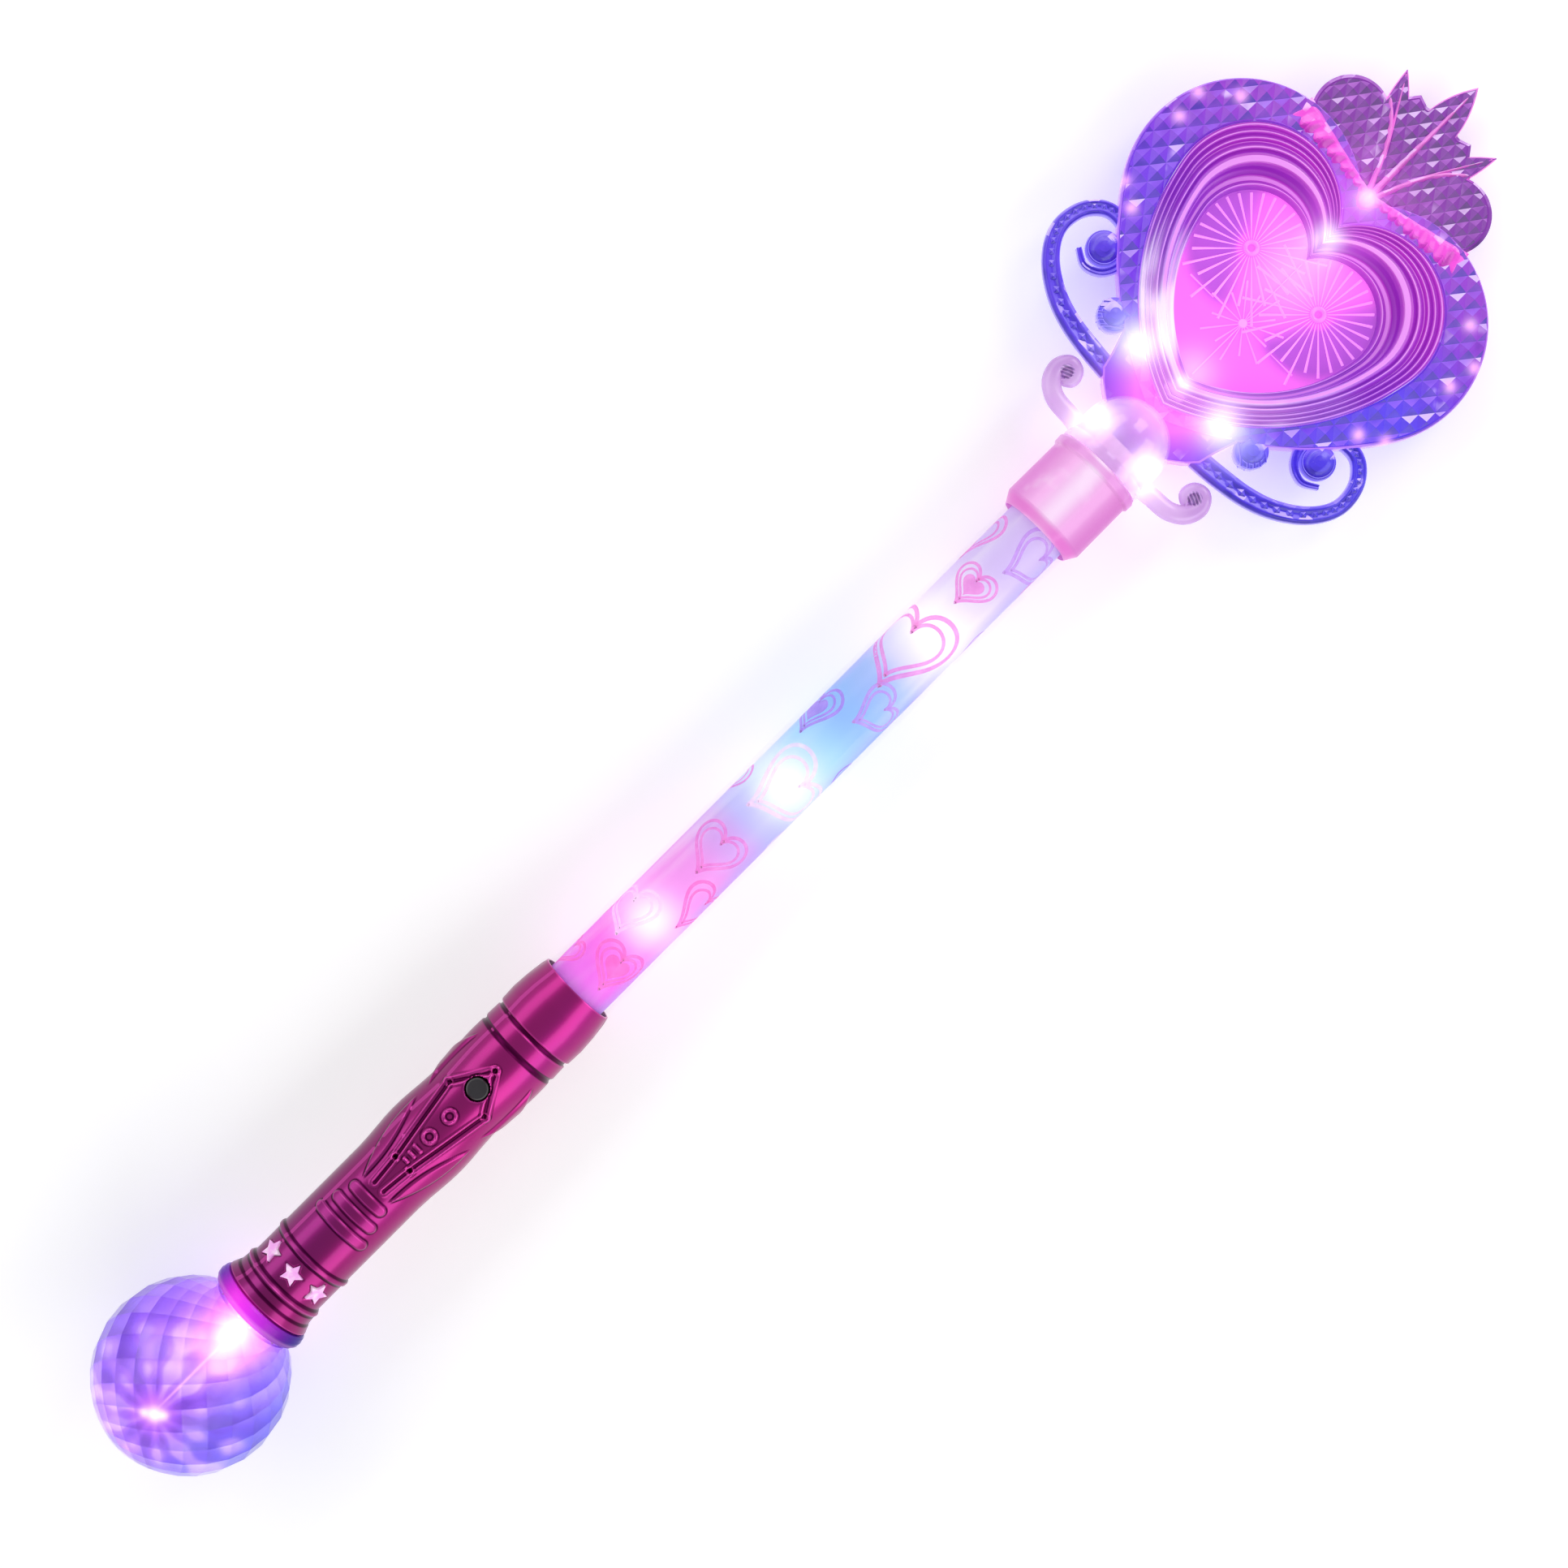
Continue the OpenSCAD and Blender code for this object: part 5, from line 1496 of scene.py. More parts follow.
@dataclass
class Tube(SubAssembly):
    """Light tube with its printed film, hearts and lamps."""

    ink_r: float = 8.46
    line: Point = (0.018, 0.2)
    inner_line: Point = (0.74, 0.8)
    filling: float = 0.52
    hearts: Tuple[Heart, ...] = (
        Heart(309, 34, 14, -28, Hue.LILAC), Heart(305.5, -88, 14, 10, Hue.PINK),
        Heart(294.6, -10, 10.5, 0, Hue.PINK, True), Heart(272.8, -20, 22, 14, Hue.PINK),
        Heart(257, 28, 12, -26, Hue.LILAC), Heart(247, -60, 13, 22, Hue.PURPLE, True),
        Heart(228, 12, 19, -26, Hue.PALE), Heart(205.6, 0, 13, 4, Hue.PINK), Heart(192.5, 58, 13, -12, Hue.MAGENTA),
        Heart(181, -34, 13, 20, Hue.PALE), Heart(168.4, 22, 12, 6, Hue.MAGENTA, True),
        Heart(163.5, -72, 9, -10, Hue.MAGENTA), Heart(303, 150, 17, 20, Hue.PINK),
        Heart(284, 108, 11, -18, Hue.LILAC, True), Heart(279, 190, 12, 12, Hue.PINK, True),
        Heart(260, 150, 20, -14, Hue.LILAC), Heart(240, 118, 12, 24, Hue.PURPLE),
        Heart(236, 205, 13, -8, Hue.PURPLE, True), Heart(215, 150, 18, 16, Hue.PALE),
        Heart(196, 205, 12, -20, Hue.PINK), Heart(186, 130, 11, 8, Hue.MAGENTA, True),
        Heart(170, 170, 15, -10, Hue.MAGENTA), Heart(264, 238, 11, 12, Hue.LILAC),
        Heart(222, 255, 12, -16, Hue.PINK), Heart(300, 240, 11, -6, Hue.PINK, True), Heart(176, 245, 12, 14, Hue.PINK))

    def outline(self, tall: float) -> np.ndarray:
        """Heart outline with its tip down.

        Args:
            tall: its height.

        Returns:
            Its points round its middle, in millimetres.
        """
        t = circle(72)
        u = 13 * np.cos(t) - 5 * np.cos(2 * t) - 2 * np.cos(3 * t) - np.cos(4 * t)
        return np.stack([u + 2.5, 16 * np.sin(t) ** 3], 1) * tall / 29

    def rolled(self, heart: Heart, flat: np.ndarray) -> np.ndarray:
        """Rolls flat points onto the film.

        Args:
            heart: the heart at whose place they go.
            flat: the points.

        Returns:
            The points on the film.
        """
        c, s = math.cos(math.radians(heart.turn)), math.sin(math.radians(heart.turn))
        u, v = flat.T
        turn = math.radians(heart.round) + (v * c - u * s) / self.ink_r
        return np.stack([heart.along + u * c + v * s, -self.ink_r * np.sin(turn), self.ink_r * np.cos(turn)], 1)

    def ribbon(self, heart: Heart, tall: float, half: float) -> Mesh:
        """Inked line along a heart's outline.

        Args:
            heart: the heart.
            tall: height of the outline.
            half: half the line's width.

        Returns:
            The line.
        """
        outline = self.outline(tall)
        way = np.roll(outline, -1, 0) - np.roll(outline, 1, 0)
        way /= np.linalg.norm(way, axis=1)[:, None] + 1e-9
        side = np.stack([-way[:, 1], way[:, 0]], 1) * half
        return self.rolled(heart, np.vstack([outline + side, outline - side])), weave(2, len(way), round_columns=True)

    def patch(self, heart: Heart, tall: float) -> Mesh:
        """Inked area inside a heart's outline.

        Args:
            heart: the heart.
            tall: height of the outline.

        Returns:
            The area.
        """
        outline, shares = self.outline(tall), np.linspace(0.02, 1, 7)
        flat = np.vstack([outline * s for s in shares])
        return self.rolled(heart, flat), weave(len(shares), len(outline), round_columns=True)

    def build(self) -> None:
        """Prints the hearts, each with a second line inside its first."""
        smaller, thinner = self.inner_line
        for hue in Hue:
            parts = []
            for heart in (h for h in self.hearts if h.hue is hue):
                half = self.line[0] * heart.tall + self.line[1]
                parts.append(self.ribbon(heart, heart.tall, half))
                parts.append(self.ribbon(heart, heart.tall * smaller, half * thinner))
                if heart.filled:
                    parts.append(self.patch(heart, heart.tall * self.filling))
            BENCH.piece("hearts_" + hue.value.name, together(*parts), hue.value, "film", crease=80)

    def finishes(self) -> Dict[Finish, Tuple[str, ...]]:
        """Finishes of the tube, the film, the strip, the lamps and the ferrule."""
        return {ClearTube(): ("light_tube",), PrintedFilm(): ("printed_film",),
                Trace("strip", "#efefe8", "#d8d2b8"): ("tube_light_strip",),
                Moulded("tube_lamp", "#fff4ff", WHITE, 0.3, 0.2, 1.5): ("tube_lights",),
                Frosted(): ("tube_ferrule",)}


@dataclass
class Collar(SubAssembly):
    """Clear collar with a domed end and two curled horns."""

    start: float = 338.142
    radius: float = 11.7
    dome: float = 11.0
    length: float = 20.0
    wall: float = 1.6
    tip: float = 0.02
    lip: Tuple[Point, ...] = ((0, 10.6), (0, 11.9), (0.5, 12.1), (2.0, 12.1), (2.6, 11.8), (3.2, 11.7))
    inside: Tuple[Point, ...] = ((7.2, 10.1), (0, 10.6))
    horn_t: float = 5.0
    horn: Tuple[Tuple[float, ...], ...] = (
        (10.2, 3.6, 0.5), (14, 4.2, 0.5), (19.4, 4.7, 0.5), (23.2, 7, 0.48), (24.6, 10.6, 0.44), (23, 13.4, 0.4),
        (20.4, 13, 0.36), (19.6, 10.6, 0.33), (21.2, 9.2, 0.3))
    horn_tail: Tuple[float, ...] = (0.5, 0.5, 0, 0)
    horn_end: Tuple[float, ...] = (0.9, 0.6, 0.15)
    bead_at: Point = (11.2, 22)
    bead: Tuple[Point, ...] = ((0.02, -1.9), (1.1, -1.7), (1.7, -0.9), (1.9, 0), (1.7, 0.9), (1.1, 1.7), (0.02, 1.9))

    def dome_line(self, less: float, turns: np.ndarray) -> List[Point]:
        """Profile of the dome, made smaller by a wall for its inside."""
        x, tall, wide = self.start + self.length - self.dome, self.dome - less, self.radius - less
        return [(x + tall * math.sin(a), max(wide * math.cos(a), self.tip)) for a in turns]

    def build(self) -> None:
        """Builds the dome, its inner wall and the horns with a bead in each curl."""
        lip, inside = ([(self.start + x, r) for x, r in line] for line in (self.lip, self.inside))
        shell = spun(lip + self.dome_line(0, np.linspace(0, math.pi / 2, 26))
                     + self.dome_line(self.wall, np.linspace(math.pi / 2, 0, 20)) + inside)
        path = run_through([(self.start + x, y, 0, w * self.horn_t) for y, x, w in self.horn], 7)
        tail = path[-1] + np.array([self.horn_tail]) * np.linspace(0, 1, 3)[:, None]
        tail[:, 3] = path[-1, 3] * np.array(self.horn_end)
        horn = tubed(np.vstack([path[:-1], tail]), 22)
        x, y = self.bead_at
        bead = knob((self.start + x, y, 0), self.bead)
        BENCH.piece("head_collar_clear", together(shell, both_sides(horn), both_sides(bead)), ClearCollar(), "collar",
                    stands_for=["head_collar"], crease=40)


@dataclass(frozen=True)
class HeartLine:
    """Heart outline: a lobe arc and a wide side arc on either side of the middle."""

    lobe_y: float
    lobe_r: float
    turn: float
    side_r: float
    lobe_steps: int = 56
    side_steps: int = 44

    def whole(self) -> np.ndarray:
        """The closed outline.

        Returns:
            Points from the notch round one lobe to the tip, and back round the other.
        """
        notch = -math.degrees(math.asin(self.lobe_y / self.lobe_r))
        a = np.radians(np.linspace(notch, 90 + self.turn, self.lobe_steps))
        lobe = np.stack([self.lobe_r * np.cos(a), self.lobe_y + self.lobe_r * np.sin(a)], 1)
        t = math.radians(90 + self.turn)
        c = np.array([0, self.lobe_y]) - (self.side_r - self.lobe_r) * np.array([math.cos(t), math.sin(t)])
        b = np.linspace(t, math.pi + math.asin(c[1] / self.side_r), self.side_steps)
        side = c + self.side_r * np.stack([np.cos(b), np.sin(b)], 1)
        half = np.vstack([lobe, side[1:]])
        return np.vstack([half, half[-2:0:-1] * (1, -1)])


class Side(Enum):
    """Sides of the head."""

    FRONT = "front"
    BACK = "back"


@dataclass
class HeadPiece:
    """One piece of the head, made for its front, and the node on each side that it stands for."""

    name: str
    mesh: Mesh
    finish: Finish
    crease: float
    slot: str = "head"
    node: str = ""


@dataclass(frozen=True)
class Burst:
    """A starburst of the panel: its hub, how many ribs, where they start and end, and its hub's profile."""

    hub: Point
    ribs: int
    near: float
    long: float
    short: float
    wide: float
    profile: Tuple[Point, ...]
    steps: int


SIDE_HUB = ((2.1, 0), (1.9, 0.7), (1.5, 0.85), (1.1, 0.7), (0.9, 0))
LOW_HUB = ((1.2, 0), (1.0, 0.5), (0.02, 0.6))


@dataclass
class Head(SubAssembly):
    """Heart head: cut frame, crown, trims, scrolls, bezel and lit panel, the same on front and back."""

    lobe_x: float = 409.042
    crown_x: float = 428.507
    collar_x: float = 338.142
    seat: float = 0.03
    frame_z: float = 3.6
    crown_z: float = 2.0
    panel_z: float = 2.7
    diamond: Point = (5.1, 6.5)
    diamond_z: float = 0.12
    diamond_h: float = 1.0
    scale: Point = (3.9, 5.4)
    scale_z: float = 0.1
    scale_h: float = 0.75
    quilt_deep: float = 0.9
    quilt_band: Point = (0.05, 0.925)
    frame_fence: Point = (-0.4, 3)
    frame_bore: float = 1.006
    frame_edge: Tuple[Point, ...] = ((0.0, 0.1), (0.012, 0), (0.9, 0), (0.95, 0.12), (0.98, 0.5), (0.995, 1.0),
                                     (1.0, 1.5))
    frame_box: Tuple[Point, Point] = ((-56, -54), (32, 54))
    crown_box: Tuple[Point, Point] = ((-3, -29), (42, 29))
    middle: float = -20.778
    panel_edge: float = 0.742
    ray_edge: float = 0.655
    ray_least: float = 1.0
    ray_sink: float = 0.05
    ray_tip: Point = (0.12, 0.45)
    ray_h: float = 0.5
    hub_sink: float = 0.1
    join_near: float = 0.1
    frame_line: HeartLine = HeartLine(21.902, 29.3, 35, 105.01)
    bezel_line: HeartLine = HeartLine(17.8, 21.0, 10, 60.0)
    arm: Tuple[Tuple[float, ...], ...] = (
        (15, 18.6, 1, 1), (22, 19.2, 1, 1), (30, 20.4, 0.96, 1), (37, 22.8, 0.9, 1), (43.4, 27, 0.84, 1),
        (47.4, 32, 0.78, 1), (48.6, 37, 0.74, 1), (47.2, 42.4, 0.72, 1), (43.4, 46.2, 0.7, 1), (38.6, 46.6, 0.66, 1),
        (33.4, 44, 0.56, 0.95), (31.4, 39, 0.46, 0.9), (33.2, 34.4, 0.4, 0.9), (37.4, 32.6, 0.34, 0.85),
        (41.4, 34.6, 0.28, 0.8))
    arm_size: Point = (2.8, 2.7)
    foot_top: float = 33.0
    foot_share: float = 0.4
    foot_bevel: float = 0.7
    foot_inset: float = 0.97
    foot: Tuple[Point, ...] = ((6.6, 8.4), (11.5, 8.8), (13, 11), (15.4, 14.2), (18, 16.6), (22, 17.6), (28, 19.6),
                               (34, 25))
    ridges: Tuple[Point, ...] = (
        (1.0, 3.0), (1.0, 4.4), (0.993, 5.0), (0.984, 5.2), (0.974, 4.9), (0.966, 4.45), (0.957, 5.5), (0.947, 6.1),
        (0.936, 5.8), (0.928, 5.25), (0.919, 6.4), (0.909, 6.9), (0.899, 6.6), (0.889, 6.15), (0.872, 7.5), (0.86, 8.2),
        (0.848, 8.1), (0.84, 7.4), (0.828, 8.3), (0.812, 8.9), (0.8, 8.98), (0.782, 8.98), (0.772, 8.7), (0.762, 7.6),
        (0.752, 5.6), (0.744, 4.0), (0.736, 3.3), (0.722, 3.1), (0.706, 3.2), (0.698, 4.2), (0.69, 4.7), (0.68, 4.6),
        (0.672, 3.8), (0.666, 2.9), (0.662, 2.3))
    crown_ribs: Tuple[Tuple[Tuple[float, ...], ...], ...] = (
        ((1.5, 0, 1.3, 3.6), (18, 0, 0.95, 3.2), (30, 0, 0.7, 3), (38.3, 0, 0.4, 2.6)),
        ((2.6, 0.7, 1, 3.4), (10.8, 4, 0.9, 3.2), (16.4, 6.9, 0.85, 3.1), (20.6, 10.2, 0.8, 3), (23.8, 13.8, 0.7, 2.6)),
        ((12, 4, 0.5, 2.8), (20, 8.6, 0.5, 2.8), (30.4, 14.8, 0.35, 2.5)))
    crown_start: Point = (-2.0, 0.0)
    crown_sweep: Tuple[float, float, float] = (-100, 100.01, 0.4)
    crown_edge: float = 0.55
    crown_bevel: float = 0.9
    crown_inset: float = 1.35
    crown_fence: Point = (-0.3, 2)
    middle_leaf: Tuple[float, float, float] = (11.4, 40.8, 4.8)
    side_leaf: Tuple[Point, Point, float, float] = ((5, 1.0), (31.9, 15.5), 3.6, 3.4)
    petal: Tuple[float, float, float] = (14.2, 17.5, 9.7)
    wing: Tuple[Point, ...] = ((-6, 0), (6, 26), (10, 27), (14, 20), (23.4, 13.4), (29.6, 8.6), (28.6, 5.6),
                               (28.8, 4.2), (28.8, 0))
    hub_at: float = 1.4
    crown_hub: Tuple[Point, ...] = ((3.1, 0), (3.1, 2.6), (2.8, 4.0), (2.2, 4.9), (1.2, 5.4), (0.02, 5.6))
    curl_at: Point = (38.8, 37)
    curl_size: Point = (4.6, 4.0)
    curl: Tuple[Point, ...] = ((1, 0), (0.98, 0.25), (0.92, 0.42), (0.86, 0.45), (0.84, 0.55), (0.74, 0.72),
                               (0.56, 0.86), (0.3, 0.96), (0.004, 1))
    bud_at: Point = (29, 23.6)
    bud_r: float = 4.3
    bud_way: Point = (-0.6, 0.8)
    bud_pitch: float = 1.45
    bud_ribs: Tuple[float, ...] = (3.4, 3.75, 4.1, 3.75, 3.4)
    bud_rib: Point = (0.4, 0.62)
    bud_fall: float = 0.25
    gem_rows: Tuple[int, int, int] = (4, 64, 3)
    gem_z: float = 0.5
    gem_tip: float = 0.02
    gem: Tuple[Point, ...] = ((0.62, 0), (0.34, 0.3), (0, 0.42))
    bud: Tuple[Point, ...] = ((4.4, 0), (4.4, 1.6), (4.1, 2.5), (3.5, 2.9), (3.3, 3.0), (3.2, 3.6), (2.6, 4.1),
                              (1.4, 4.5), (0.02, 4.6))
    folds: int = 11
    ruffle_run: Tuple[Point, Point] = ((3.4, 1), (9.8, 27))
    ruffle_w: Tuple[float, float, float] = (1.6, 5.4, 0.7)
    ruffle_z: Tuple[float, float, float] = (3.4, 1.8, 0.6)
    ruffle_lean: float = 0.12
    ruffle_twist: float = 2.4
    bursts: Tuple[Burst, ...] = (Burst((-7, -11.5), 28, 2.0, 19.0, 14.5, 0.4, SIDE_HUB, 40),
                                 Burst((-7, 11.5), 28, 2.0, 19.0, 14.5, 0.4, SIDE_HUB, 40),
                                 Burst((-21.5, 0), 14, 1.2, 10.5, 8.0, 0.3, LOW_HUB, 20))
    joins: Tuple[Tuple[Point, float, float, float], ...] = (
        ((-22, -9.5), -90, 8, 0.25), ((-22, 9.5), 90, 8, 0.25), ((-1, 0), 180, 40, 0.22))

    def inner(self, k: float) -> np.ndarray:
        """Bezel outline, shrunk toward its middle, in the wand's millimetres."""
        m = np.array([self.middle, 0])
        return m + (self.bezel_line.whole() - m) * k + np.array([self.lobe_x, 0])

    def rings(self, lines: Sequence[Tuple[np.ndarray, float]], close: bool = False, lid: bool = False) -> Mesh:
        """Skin over outlines of equal length.

        Args:
            lines: the outlines and their heights.
            close: whether the last outline meets the first.
            lid: whether the last outline is filled.

        Returns:
            The skin.
        """
        n, count = len(lines[0][0]), len(lines)
        points = np.vstack([np.column_stack([line, np.full(n, z)]) for line, z in lines])
        ends = [tuple(range((count - 1) * n, count * n))] if lid else []
        return points, weave(count, n, round_rows=close, round_columns=True) + ends

    def between(self, t: float) -> np.ndarray:
        """Outline between the bezel (0) and the frame's edge (1)."""
        return self.inner(self.frame_bore) * (1 - t) + (self.frame_line.whole() + np.array([self.lobe_x, 0])) * t

    def quilt(self, low: Point, high: Point, cell: Point, z: float, tall: float) -> Mesh:
        """Field of four-sided pyramids whose peaks and valleys take turns.

        Args:
            low: the field's lower corner.
            high: its upper corner.
            cell: width and length of a diamond.
            z: height of the valleys.
            tall: height of the peaks over them.

        Returns:
            The field, closed underneath.
        """
        n = 2 * math.ceil((high[0] - low[0]) / cell[1])
        m = 2 * math.ceil((high[1] - low[1]) / cell[0])
        top = np.array([(low[0] + i * cell[1] / 2, (j - m / 2) * cell[0] / 2, z + (0 if (i + j) % 2 else tall))
                        for i in range(n + 1) for j in range(m + 1)])
        base = top * (1, 1, 0) + (0, 0, z - self.quilt_deep)
        k, w = len(top), m + 1
        faces: Faces = []
        for i in range(n):
            for j in range(m):
                a, b, c, d = i * w + j, i * w + j + 1, (i + 1) * w + j + 1, (i + 1) * w + j
                faces += [(a, b, c), (a, c, d)] if (i + j) % 2 else [(a, b, d), (b, c, d)]
                faces.append((k + d, k + c, k + b, k + a))
        rim = list(range(w)) + [i * w + m for i in range(1, n + 1)]
        rim += [n * w + j for j in range(m - 1, -1, -1)] + [i * w for i in range(n - 1, 0, -1)]
        faces += [(a, k + a, k + b, b) for a, b in zip(rim, rim[1:] + rim[:1])]
        return np.vstack([top, base]), faces

    def frame_piece(self) -> Mesh:
        """Frame plate with rounded edges, its foot, and the cut quilt on its face.

        Returns:
            The frame.
        """
        z = self.frame_z
        section = [(0.0, self.seat), *((t, z - drop) for t, drop in self.frame_edge), (1.0, self.seat)]
        near, far = self.quilt_band
        bottom, top = (z + h for h in self.frame_fence)
        wall = ((near, bottom), (near, top), (far, top), (far, bottom))
        plate, fence = (self.rings([(self.between(t), h) for t, h in line], close=True) for line in (section, wall))
        low, high = np.array(self.frame_box) + (self.lobe_x, 0)
        quilt = self.quilt(low, high, self.diamond, z + self.diamond_z, self.diamond_h)
        cut = BENCH.common("frame_quilt", quilt, fence)
        right = np.array(self.foot) + (self.collar_x, 0)
        heart = self.between(self.foot_share)
        line = np.vstack([right, heart[heart[:, 0] < self.collar_x + self.foot_top], right[::-1] * (1, -1)])
        inset = line * (1, self.foot_inset)
        base = self.rings([(line, self.seat), (line, z - self.foot_bevel), (inset, z)], lid=True)
        return together(plate, cut, base)

    def crown_shapes(self) -> List[np.ndarray]:
        """Petals, leaves and wings that make up the crown.

        Returns:
            Their outlines, measured from the crown's foot.
        """
        start, end, half = self.middle_leaf
        p, q, left, right = self.side_leaf
        x, y, r = self.petal
        t = circle(64)
        shapes = [leaf_line((start, 0), (end, 0), half, half)]
        for s in (1, -1):
            shapes.append(np.stack([x + r * np.cos(t), s * (y + r * np.sin(t))], 1))
            shapes.append(leaf_line((p[0], s * p[1]), (q[0], s * q[1]), s * left, s * right))
            shapes.append(np.array(self.wing) * (1, s))
        return shapes

    def reach(self, shape: np.ndarray, way: np.ndarray) -> float:
        """Farthest point of a shape in a direction.

        Args:
            shape: the shape's outline, measured from where one looks.
            way: the direction.

        Returns:
            The distance, at least 1.
        """
        edge = np.roll(shape, -1, 0) - shape
        det = way[1] * edge[:, 0] - way[0] * edge[:, 1]
        with np.errstate(divide="ignore", invalid="ignore"):
            far = (shape[:, 1] * edge[:, 0] - shape[:, 0] * edge[:, 1]) / det
            share = (way[0] * shape[:, 1] - way[1] * shape[:, 0]) / det
        return far[(np.abs(det) > 1e-9) & (share >= 0) & (share <= 1)].max(initial=1.0)

    def crown_piece(self) -> Mesh:
        """Crown plate with bevelled edges and its finer quilt.

        Returns:
            The crown, as far as its shapes reach in every direction from its hub.
        """
        start, z = np.array(self.crown_start), self.crown_z
        shapes = [shape - start for shape in self.crown_shapes()]
        ways = [np.array([math.cos(a), math.sin(a)]) for a in np.radians(np.arange(*self.crown_sweep))]
        far = np.array([[max(self.reach(shape, way) for shape in shapes)] for way in ways])
        hub = np.array([self.crown_x, 0]) + start
        line, inset, deep = (hub + ways * (far - less) for less in (0, self.crown_bevel, self.crown_inset))
        plate = self.rings([(line, self.seat), (line, z - self.crown_edge), (inset, z)], lid=True)
        fence = self.rings([(deep, z + h) for h in self.crown_fence], lid=True)
        fence[1].append(tuple(range(len(deep)))[::-1])
        low, high = np.array(self.crown_box) + (self.crown_x, 0)
        quilt = self.quilt(low, high, self.scale, z + self.scale_z, self.scale_h)
        return together(plate, BENCH.common("crown_quilt", quilt, fence))

    def ribs(self) -> Mesh:
        """Ribs of the crown.

        Returns:
            One in the middle, and two on either side.
        """
        beads = []
        for path in self.crown_ribs:
            rows = run_through([(self.crown_x + x, y, 0, w, h) for x, y, w, h in path], 12)
            bead = beaded(rows, round_section, 13)
            beads.append(both_sides(bead) if beads else bead)
        return together(*beads)

    def ruffles(self) -> Mesh:
        """Ruffled trims that run out from the hub.

        Returns:
            The trims on both sides.
        """
        start, end = np.array(self.ruffle_run) + (self.crown_x, 0)
        narrow, grow, wave = self.ruffle_w
        base, high, deep = self.ruffle_z
        rows, steps, count = [], np.linspace(0, 1, 150), 11
        for t in steps:
            fold = t * self.folds * math.pi
            wide = narrow + grow * t ** 1.1 + wave * abs(math.sin(fold))
            fade = min(1, 6 * (1 - t) + 0.15)
            for u in np.linspace(0, 1, count):
                rise = 1 - (2 * u - 1) ** 4
                pleat = deep * math.sin(fold - self.ruffle_twist * u) * (0.3 + 0.7 * u)
                spot = start + (end - start) * t + np.array([-1, self.ruffle_lean]) * wide * u
                rows.append((*spot, base + (high + pleat) * rise * fade))
        return both_sides((np.array(rows), weave(len(steps), count)))

    def scrolls(self) -> Mesh:
        """Scroll arms, the balls in their curls and the buds under the heart.

        Returns:
            The scrolls of both sides.
        """
        wide, tall = self.arm_size
        rows = run_through([(self.collar_x + x, y, 0, w * wide, h * tall) for y, x, w, h in self.arm], 7)
        parts = [beaded(rows, grooved_section, 25)]
        for x, y, _, w, h in rows[slice(*self.gem_rows)]:
            gem = [(max(w * r, self.gem_tip), h * z) for r, z in self.gem]
            parts.append(knob((x, y, h * self.gem_z), gem, 4))
        curl = np.array(self.curl) * self.curl_size
        for (x, y), profile in ((self.curl_at, curl), (self.bud_at, self.bud)):
            parts.append(knob((self.collar_x + x, y, 0), profile))
        dx, dy = self.bud_way
        for i, h in enumerate(self.bud_ribs, -2):
            o = i * self.bud_pitch
            mid = np.array(self.bud_at) + (self.collar_x + o * dy, -o * dx)
            way = np.array(self.bud_way) * math.sqrt(self.bud_r ** 2 - o ** 2)
            path = [(*(mid + way * s), *self.bud_rib, h * (1 - self.bud_fall * s * s)) for s in np.linspace(-1, 1, 9)]
            parts.append(beaded(np.array(path), round_section, 11))
        return both_sides(together(*parts))

    def bezel_piece(self) -> Mesh:
        """Ridged bezel from its outer edge over the crest to the panel."""
        return self.rings([(self.inner(k), z) for k, z in run_through(self.ridges, 3)])

    def panel_floor(self) -> Mesh:
        """Flat floor of the panel."""
        shares = np.linspace(0.01, 1, 12) * self.panel_edge
        return self.rings([(self.inner(k), self.panel_z) for k in shares])

    def ray(self, start: Point, angle: float, near: float, far: float, wide: float) -> List[Mesh]:
        """Rib of the panel, shaped like a roof.

        Args:
            start: where it would start, from the middle of the lobes.
            angle: its direction.
            near: where it begins, from its start.
            far: where it ends, if the panel's edge isn't met before.
            wide: half its width at its end.

        Returns:
            The rib, or nothing where there is no room.
        """
        start = np.array(start) + (self.lobe_x, 0)
        d = np.array([math.cos(angle), math.sin(angle)])
        steps = np.linspace(near, far, 60)
        inside = edge_distance(start + d * steps[:, None], self.inner(self.ray_edge)) < 0
        stop = far if inside.all() else steps[np.argmin(inside) - 1]
        if not inside[0] or stop - near < self.ray_least:
            return []
        points = []
        for at, half, rise in ((near, *self.ray_tip), (stop, wide, self.ray_h)):
            p, s, z = start + d * at, np.array([-d[1], d[0]]) * half, self.panel_z - self.ray_sink
            points += [(*(p + s), z), (*(p - s), z), (*p, z + rise)]
        return [(np.array(points), [(0, 2, 1), (3, 4, 5), (0, 3, 5, 2), (1, 2, 5, 4), (0, 1, 4, 3)])]

    def rays(self) -> Mesh:
        """Ribs of the three starbursts, their hubs and the lines between them.

        Returns:
            The ribs.
        """
        parts = []
        for burst in self.bursts:
            for i in range(burst.ribs):
                far = burst.long if i % 2 else burst.short
                parts += self.ray(burst.hub, 2 * math.pi * (i + 0.5) / burst.ribs, burst.near, far, burst.wide)
            x, y = burst.hub
            parts.append(knob((self.lobe_x + x, y, self.panel_z - self.hub_sink), burst.profile, burst.steps))
        for start, angle, far, wide in self.joins:
            parts += self.ray(start, math.radians(angle), self.join_near, far, wide)
        return together(*parts)

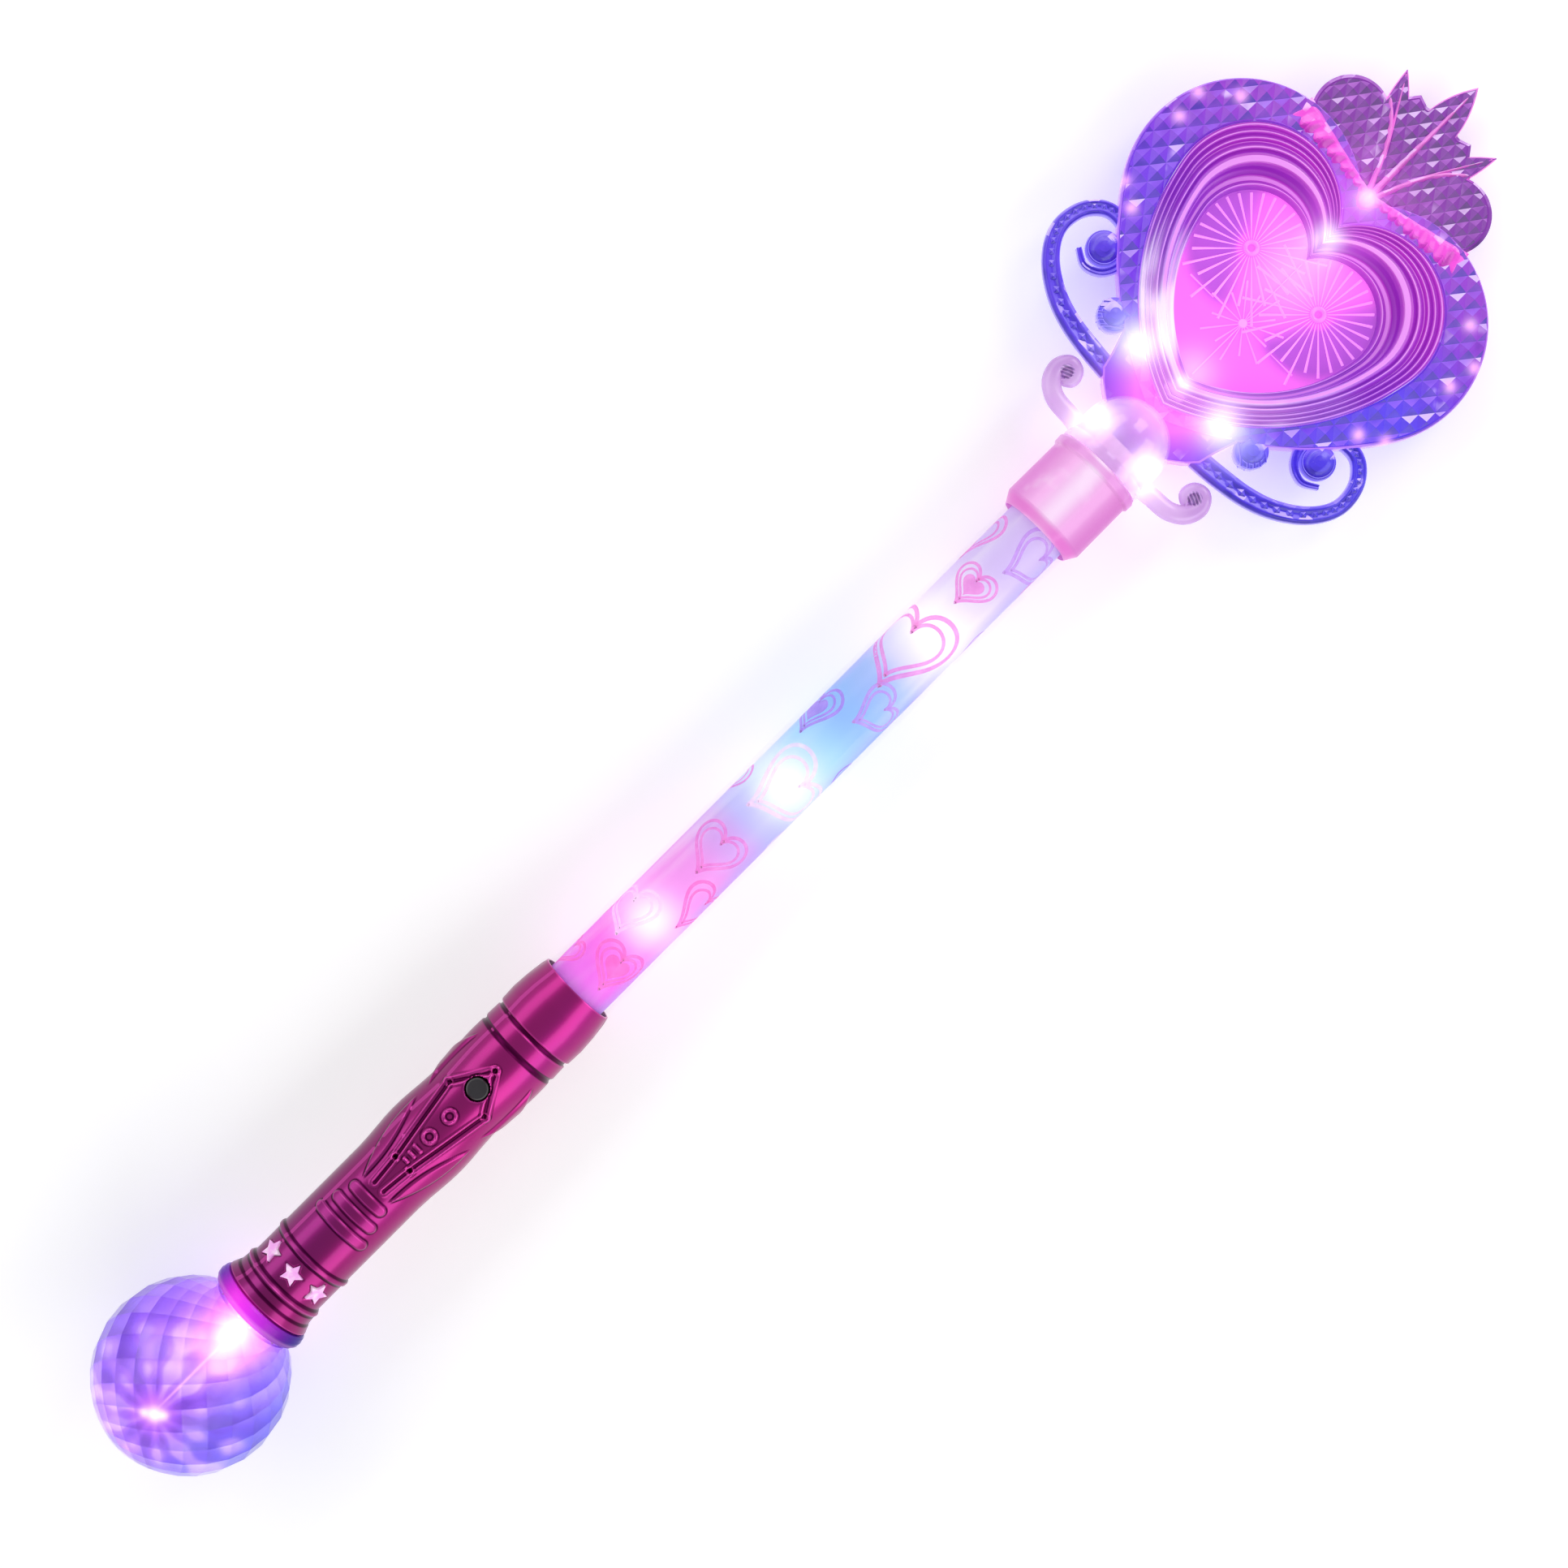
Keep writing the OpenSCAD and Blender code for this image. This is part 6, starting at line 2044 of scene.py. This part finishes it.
    def build(self) -> None:
        """Builds every piece once and sets it on the front and on the back."""
        hub = knob((self.crown_x + self.hub_at, 0, 0), self.crown_hub)
        made = (HeadPiece("frame", self.frame_piece(), FRAME_PLASTIC, 12.0, node="head_{}_shell"),
                HeadPiece("crown", self.crown_piece(), CROWN_PLASTIC, 12.0),
                HeadPiece("crown_ribs", self.ribs(), RIB_PLASTIC, 50.0),
                HeadPiece("ruffles", self.ruffles(), TRIM_PLASTIC, 60.0),
                HeadPiece("hub", hub, TRIM_PLASTIC, 50.0),
                HeadPiece("scrolls", self.scrolls(), SCROLL_PLASTIC, 50.0),
                HeadPiece("bezel", self.bezel_piece(), Ridged(), 70.0, "bezel", "{}_bezel"),
                HeadPiece("panel", self.panel_floor(), LitPanel(), 30.0, "panel", "{}_panel"),
                HeadPiece("rays", self.rays(), LitPanel("ray", "#ff9afa", "#fba2f8"), 20.0, "panel"))
        for side in Side:
            for piece in made:
                placed = piece.mesh if side is Side.FRONT else mirrored(piece.mesh, out=True)
                stands = [piece.node.format(side.value)] if piece.node else []
                BENCH.piece(f"head_{side.value}_{piece.name}", placed, piece.finish, piece.slot, stands, piece.crease)

    def finishes(self) -> Dict[Finish, Tuple[str, ...]]:
        """Finishes of the light board and its lamps."""
        return {Trace("head_board", "#e6e6df", "#cfc9ae"): ("head_light_board",),
                Moulded("head_lamp", "#fff0ff", WHITE, 0.3, 0.2, 2.0): ("head_lights",)}


@dataclass(frozen=True)
class Softbox:
    """A soft lamp of the studio, in metres and watts."""

    name: str
    place: Tuple[float, float, float]
    size: Point
    watts: float

    def hang(self, target: Vector) -> None:
        """Hangs the lamp so that it looks at the target.

        Args:
            target: where it looks.
        """
        data = bpy.data.lights.new(self.name, "AREA")
        data.shape, data.energy = "RECTANGLE", self.watts
        data.size, data.size_y = self.size
        obj = put(self.name, data)
        obj.location = self.place
        obj.rotation_euler = (target - Vector(self.place)).to_track_quat("-Z", "Y").to_euler()


@dataclass
class Studio:
    """White floor, soft lamps and the camera over the wand's front."""

    distance: float = 0.65
    lens: float = 61.0
    sensor: float = 36.0
    nearest: float = 0.01
    aim: Tuple[float, float, float] = (229.2, -0.3, 0.0)
    floor_half: float = 1.3
    soft: float = 0.36
    fade: Point = (0.42, 1.1)
    overhead: Point = (0.3, 0.97)
    lamp_aim: Tuple[float, float, float] = (0, 0, 0.02)
    lamps: Tuple[Softbox, ...] = (Softbox("side_right", (0.0, -1.0, 0.75), (2.4, 0.75), 9.2),
                                  Softbox("side_left", (0.0, 1.0, 0.85), (2.4, 0.6), 6.4),
                                  Softbox("far_end", (1.4, 0.0, 0.9), (0.6, 1.0), 3.8))

    def floor(self) -> None:
        """Lays a white floor that keeps a soft shadow and fades into the studio farther out."""
        data = bpy.data.meshes.new("floor")
        h = self.floor_half
        data.from_pydata([(-h, -h, 0), (h, -h, 0), (h, h, 0), (-h, h, 0)], [], [(0, 1, 2, 3)])
        shader = Shader(bpy.data.materials.new("floor_white"))
        white = shader.mix(shader.noise(40, 2), tint("#f4f4f5"), tint("#f7f7f8"))
        paper = shader.add("ShaderNodeBsdfDiffuse", None, {"Color": white})
        lift, plain = (shader.add("ShaderNodeEmission", None, {"Color": tint(WHITE), "Strength": strength})
                       for strength in (self.soft, 1.0))
        near = shader.add("ShaderNodeAddShader", None, {0: paper, 1: lift})
        away = shader.add("ShaderNodeVectorMath", {"operation": "LENGTH"}, {0: shader.spot}, "Value").step(*self.fade)
        both = shader.add("ShaderNodeMixShader", None, {0: away, 1: near, 2: plain})
        surface = shader.add("ShaderNodeMixShader", None, {0: shader.seen, 1: paper, 2: both})
        shader.add("ShaderNodeOutputMaterial", None, {"Surface": surface})
        data.materials.append(shader.owner)
        obj = put("floor", data)

    def world(self) -> None:
        """Sets a soft studio that is white at eye level and pale grey overhead where it is seen."""
        world = bpy.data.worlds.new("studio")
        bpy.context.scene.world = world
        shader = Shader(world)
        up = shader.dot(shader.add("ShaderNodeTexCoord", output="Generated"), (0, 0, 1))
        sky = shader.mix(up.step(*self.overhead), tint(WHITE), tint("#c4bfc8"))
        soft = shader.add("ShaderNodeBackground", None, {"Color": tint(WHITE), "Strength": self.soft})
        plain = shader.add("ShaderNodeBackground", None, {"Color": sky, "Strength": 1.0})
        both = shader.add("ShaderNodeMixShader", None, {0: shader.seen, 1: soft, 2: plain})
        shader.add("ShaderNodeOutputWorld", None, {"Surface": both})

    def camera(self) -> None:
        """Stands the camera straight over the wand's front, turned so that the crown is at the upper right."""
        ahead, side, out = LIE.turn((1, 0, 0)), Vector((0, 1, 0)), LIE.turn((0, 0, 1))
        right, up = (ahead - side).normalized(), (ahead + side).normalized()
        target = Vector(LIE.place(np.array([self.aim]))[0])
        data = bpy.data.cameras.new("camera")
        data.lens, data.sensor_width, data.clip_start = self.lens, self.sensor, self.nearest
        obj = put("camera", data)
        turn = Matrix((right, up, out)).transposed().to_4x4()
        obj.matrix_world = Matrix.Translation(target + out * self.distance) @ turn
        bpy.context.scene.camera = obj

    def build(self) -> None:
        """Sets up the whole studio."""
        bpy.context.scene.view_settings.view_transform = "Standard"
        self.floor()
        self.world()
        for lamp in self.lamps:
            lamp.hang(Vector(self.lamp_aim))
        self.camera()


def main() -> None:
    """Builds the studio and every sub-assembly, then notes both boxes."""
    logging.basicConfig(level=logging.INFO, format="%(name)s: %(message)s")
    Studio().build()
    for part in (Ball(), Handle(), Tube(), Collar(), Head()):
        part.build()
        part.dress()
        log.info("%s done", type(part).__name__)


if __name__ == "__main__":
    main()
